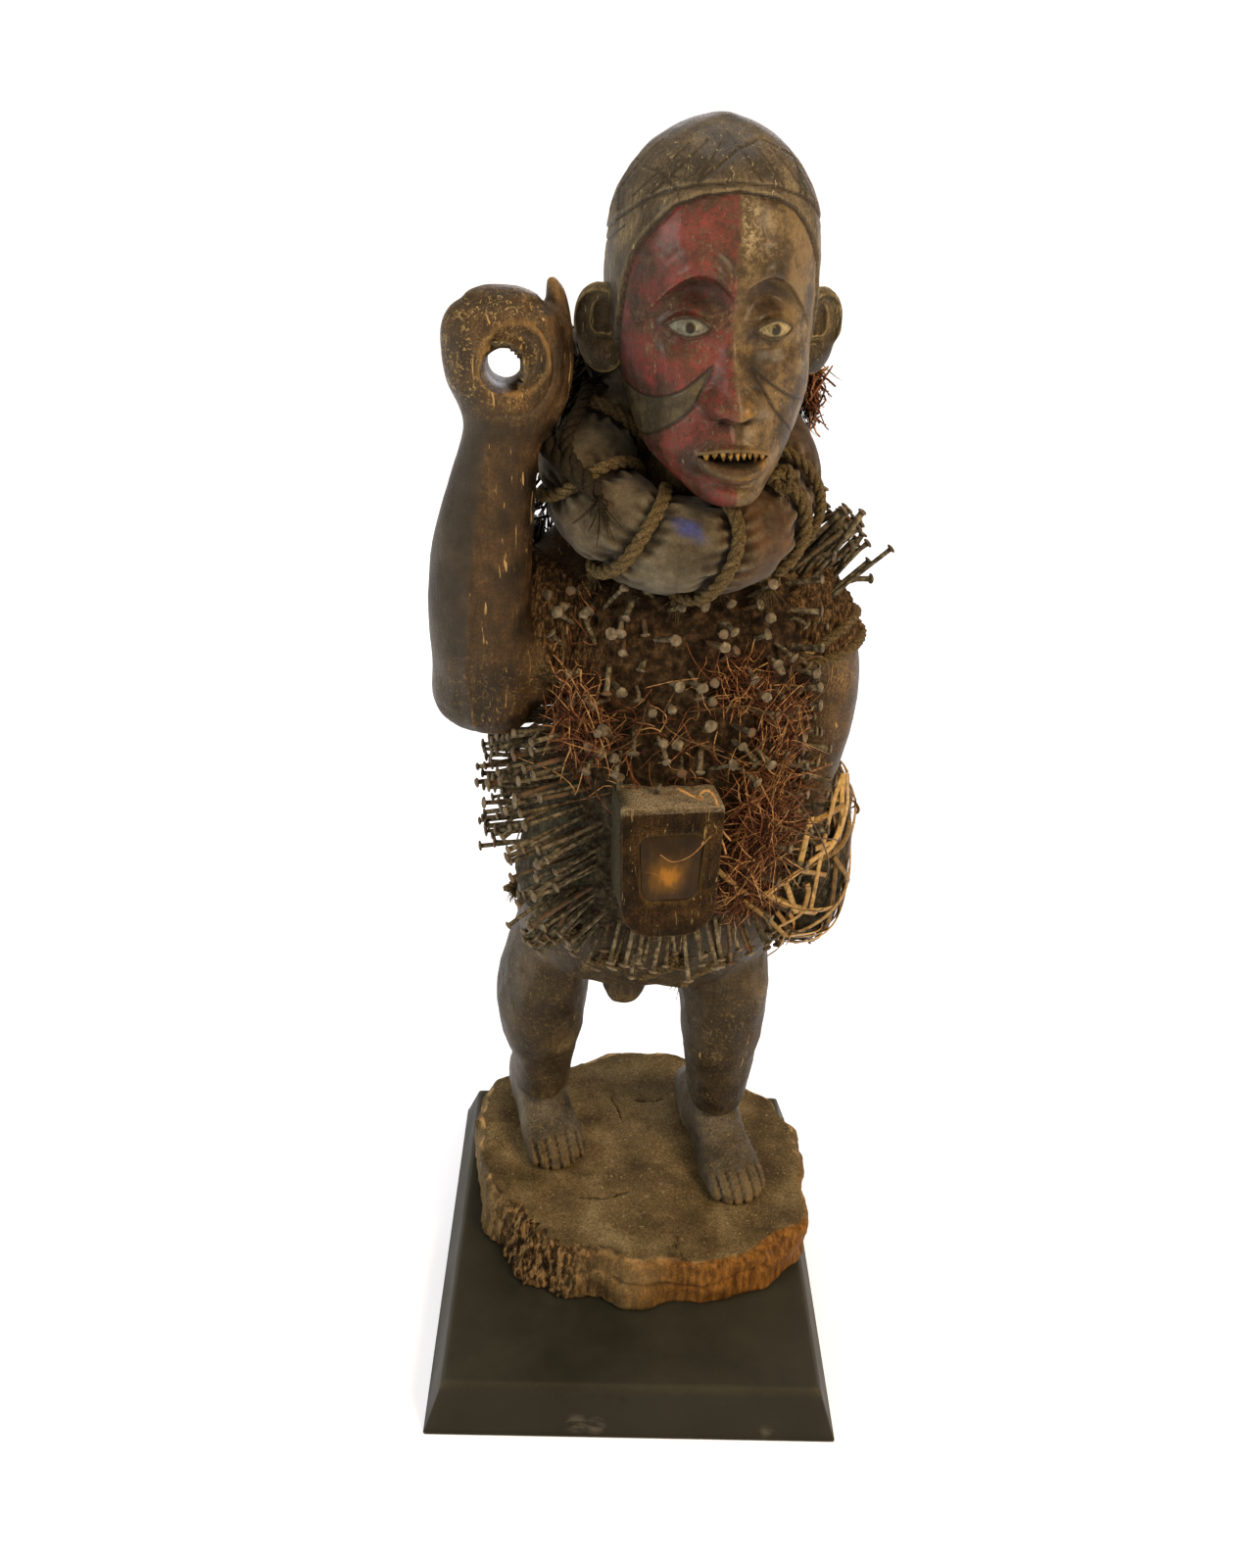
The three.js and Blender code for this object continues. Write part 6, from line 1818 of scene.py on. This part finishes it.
bundlePlan = {"level": 428, "wide": 92, "deep": 112, "tall": 226,
              "rows": [[142, 6, -0.5, 0.12, 0.14], [144, 8, -0.46, 0.34, 0.36], [150, 10, -0.3, 0.47, 0.46],
                       [154, 12, -0.05, 0.5, 0.5], [158, 14, 0.2, 0.44, 0.46], [160, 16, 0.38, 0.3, 0.36],
                       [160, 16, 0.5, 0.08, 0.1]]}
bundleRows = [[x, y, bundlePlan["level"] + up * bundlePlan["tall"], wide * bundlePlan["wide"],
               deep * bundlePlan["deep"]] for x, y, up, wide, deep in bundlePlan["rows"]]


def onBundle(share, degrees, out=0):  # share of the way up, degrees from the front
    x, y, z, wide, deep = smoothRun(bundleRows, share).T
    a = np.radians(degrees)
    return np.stack([x + (wide + out) * np.sin(a), y - (deep + out) * np.cos(a), z], -1)


def swelling(points):  # the pack bulges forward over the hip
    aim = unit(points - np.array([150, 12, 0]) - points * [0, 0, 1])
    return aim * (34 * ramp(aim @ unit(np.array([-0.55, -0.83, 0])), 0, 1) * ramp(524 - points[..., 2], 0, 60)
                  * ramp(points[..., 2], 316, 380))[..., None]


def buildPack():
    rings = limbRings(bundleRows, sides=140, steps=100, grow=-5)
    flat = rings.reshape(-1, 3)
    made = 7 * (0.5 - nearestCell(flat, 26, 151)) + 3 * layered(flat, 12, 153) + 0.8 * layered(flat, 4, 155, 2)
    return matted("bundle_pack", rings, made, {"belly": 0.85}, swelling(flat))


# hoops over the top, bands round, and slanting strips that cross them, a strip's thickness apart
def buildCage():
    rng = np.random.default_rng(17)
    paths = []
    t = np.linspace(0, 1, 40)
    for turn in (-64, -30, 8, 40, 66, 92, 122, 156):
        paths.append(onBundle(0.04 + 0.92 * t, turn + 8 * np.sin(3 * t + turn), rng.uniform(-1, 1.5)))
    for level, tilt in ((0.2, 0.05), (0.34, -0.06), (0.5, 0.05), (0.66, 0.07), (0.82, -0.04)):
        around = -80 + 260 * t
        paths.append(onBundle(level + tilt * np.sin(np.radians(around) * 1.3 + level * 9), around,
                              1.5 + rng.uniform(-1, 1)))
    for start, end, low, high in ((-70, 60, 0.1, 0.5), (-50, 90, 0.25, 0.72), (60, -40, 0.08, 0.46),
                                  (100, 0, 0.2, 0.62),
                                  (150, 60, 0.1, 0.6), (60, 150, 0.3, 0.8), (-40, 40, 0.5, 0.86),
                                  (40, 110, 0.06, 0.4)):
        paths.append(onBundle(low + (high - low) * t, start + (end - start) * t, 3.2 + rng.uniform(-0.8, 1.2)))
    bent = np.array(paths)
    bent += swelling(bent)
    bent += 1.6 * np.sin(t * 14 + np.arange(len(bent))[:, None])[..., None] * unit(bent - [150, 12, 428])
    strips = tubes(bent, rng.uniform(2.2, 3.6, (len(bent), 1)), 6, 0, 0.22, [150, 12, 428])
    front = [[(81, -108, 441), (113, -100, 460), (137, -87, 470), (161, -66, 468)],
             [(82, -106, 445), (112, -98, 420), (132, -88, 406), (148, -77, 395)],
             [(140, -83, 407), (142, -81, 432), (143, -81, 460), (146, -78, 489), (151, -74, 526),
              (160, -62, 545)], [(122, -94, 459), (156, -70, 436)],
             [(62, -106, 437), (89, -105, 413), (113, -98, 384)],
             [(102, -103, 400), (126, -93, 407), (133, -88, 427), (130, -90, 441)],
             [(166, -58, 547), (173, -53, 506), (166, -60, 464), (168, -58, 414), (162, -64, 375),
              (152, -73, 369), (117, -95, 382)], [(127, -91, 513), (169, -57, 509)],
             [(118, -96, 471), (124, -93, 520)], [(135, -86, 479), (170, -56, 468)],
             [(33, -110, 476), (65, -107, 444)], [(103, -104, 454), (121, -95, 410)]]
    over = np.array([smoothRun(steps, t) for steps in front])
    across = tubes(over, rng.uniform(2.6, 3.6, (len(over), 1)), 6, 0, 0.22, [120, 20, 440])
    loops, looseCount = [], 16
    for _ in range(looseCount):
        centre = onBundle(np.array([rng.uniform(0.1, 0.95)]), np.array([rng.uniform(-70, 130)]), 2)[0]
        a = np.linspace(0, rng.uniform(3, 6), 40)
        size = rng.uniform(5, 10)
        ahead, up = unit(rng.normal(size=3)), unit(rng.normal(size=3))
        loops.append(centre + size * (ahead * np.cos(a)[:, None] + up * np.sin(a)[:, None]))
    loose = tubes(np.array(loops), rng.uniform(0.9, 2.2, (looseCount, 1)), 6, 0, 0.3)
    cage = makePiece("cane_cage", joined(strips, across, loose))
    shades = np.concatenate([rng.random(len(bent)), rng.uniform(0.4, 1, len(over)), rng.random(looseCount)
                             * 0.7])
    addShades(cage, shades)
    return cage


finished(buildPack(), crustSkin, ["hip_bundle"])
caneLook = [(0.0, "#2d1f12"), (0.35, "#5a4423"), (0.7, "#8b6c3c"), (1.0, "#b8965c")]
finished(buildCage(), raffiaMaterial("split cane", caneLook, 0.42))
print("hip bundle")


# Plinth

plinthPlan = {"wide": 430, "deep": 468, "tall": 56, "slope": 17, "edge": 5}


def buildPlinth(plan):  # a slab whose rings are rectangles with softened corners, leaning in to the top
    def ring(inset, height, soft):  # each corner's arc and the side from it to the next corner
        half = np.array([plan["wide"] / 2 - inset - soft, plan["deep"] / 2 - inset - soft])
        corners = [(1, 1), (-1, 1), (-1, -1), (1, -1), (1, 1)]
        along = np.linspace(0, 1, 42)[1:-1, None]
        points = []
        for corner in range(4):
            a = np.radians(90 * corner + np.linspace(0, 90, 7))
            bow = soft * np.stack([np.cos(a), np.sin(a)], -1)
            start, end = half * corners[corner] + bow, half * corners[corner + 1] + bow[-1]
            points += [start, start[-1] + (end - start[-1]) * along]
        flat = np.vstack(points)
        return np.column_stack([flat, np.full(len(flat), height)])

    slope, edge, tall = plan["slope"], plan["edge"], plan["tall"]
    rows = [(0.8, 0, 3), (0, 0.8, 3), (0.2, 2, 3)]
    rows += [(slope * s, (tall - edge) * s, 3) for s in np.linspace(0.06, 0.985, 14)]
    rows += [(slope + 0.3, tall - edge + 0.4, 3), (slope + edge - 0.6, tall - 0.5, 3),
             (slope + edge + 0.3, tall, 3)]
    rows += [(slope + edge + s, tall, 3) for s in (4, 12, 30, 60, 100, 150, 184)]
    rings = np.stack([ring(*row) for row in rows])
    flat = rings.reshape(-1, 3)
    nicks = 0.7 * np.maximum(noise(flat, 16, 161), 0.25) * hill(flat[:, 2] - tall + edge, 3)
    flat = flat - unit(flat * [1, 1, 0]) * (nicks - 0.17 * hill(flat[:, 2] - tall + edge, 3))[:, None]
    slab = makePiece("plinth_slab", (closedLoft(flat.reshape(rings.shape))[0] / 1000, closedLoft(rings)[1]),
                     isWorld=True)
    addWear(slab, 1)
    return slab


plinthLook = {"tones": [(0.35, "#1f1f18"), (0.5, "#272720"), (0.66, "#2f2f26")], "scuff": "#555044",
              "edge": "#4a463a",
              "spot": "#12110c", "marks": [(-0.073, 0.043, 0.009, True), (-0.043, 0.044, 0.006, True),
                                           (-0.026, 0.045, 0.006, True), (-0.009, 0.043, 0.005, True),
                                           (-0.056, 0.015, 0.011, False), (-0.036, 0.013, 0.01, False),
                                           (0.142, 0.01, 0.007, False)]}


def plinthMaterial(look):
    # Satin black paint on board, dusted olive-grey, rubbed pale along its edges, scuffed in front, its front
    # face painted darker as painted shade.
    material, tree, shader, (place, cloud, dust, rub) = startMaterial(
        "satin black paint", (9, 6, 0.6, 0), (380, 3, 0.6, 0), (70, 5, 0.7, 0, 0.25, 1, 1))
    depth = addNode(tree, "SeparateXYZ", {0: place}, output="Y")
    streaky = addNode(tree, "MapRange", {"Value": rub, "From Min": 0.44, "From Max": 0.62})
    ripple = addNode(tree, "Math", {0: rub, 1: 0.03}, operation="MULTIPLY")
    # the second layer darkens the whole front face: painted shade
    layers = [(look["scuff"], rub, (0.68, 0.78), 0.6), (look["spot"], depth, (-0.212, -0.218), 0.4)]
    for x, z, size, isDark in look["marks"]:  # stains and scuffs on the front slope, broken up by the rubbing
        apart = addNode(tree, "VectorMath", {0: place, 1: (x, z * 0.3 - 0.232, z)}, output="Value",
                        operation="DISTANCE")
        ragged = addNode(tree, "Math", {0: apart, 1: ripple}, operation="ADD")
        layers.append((look["spot" if isDark else "scuff"], ragged, (size + 0.018, size + 0.012), 0.9, streaky))
    colour = layColours(tree, (cloud, look["tones"]), *layers, (look["edge"], "edge", dust))
    sheen = addNode(tree, "MapRange", {"Value": cloud, "From Min": 0.35, "From Max": 0.65, "To Min": 0.46,
                                       "To Max": 0.64})
    bump = addNode(tree, "Bump", {"Height": dust, "Strength": 0.2, "Distance": 0.0004})
    setInputs(tree, shader, {"Base Color": colour, "Roughness": sheen, "Normal": bump})
    return material


finished(buildPlinth(plinthPlan), plinthMaterial(plinthLook), ["plinth"])
print("plinth")
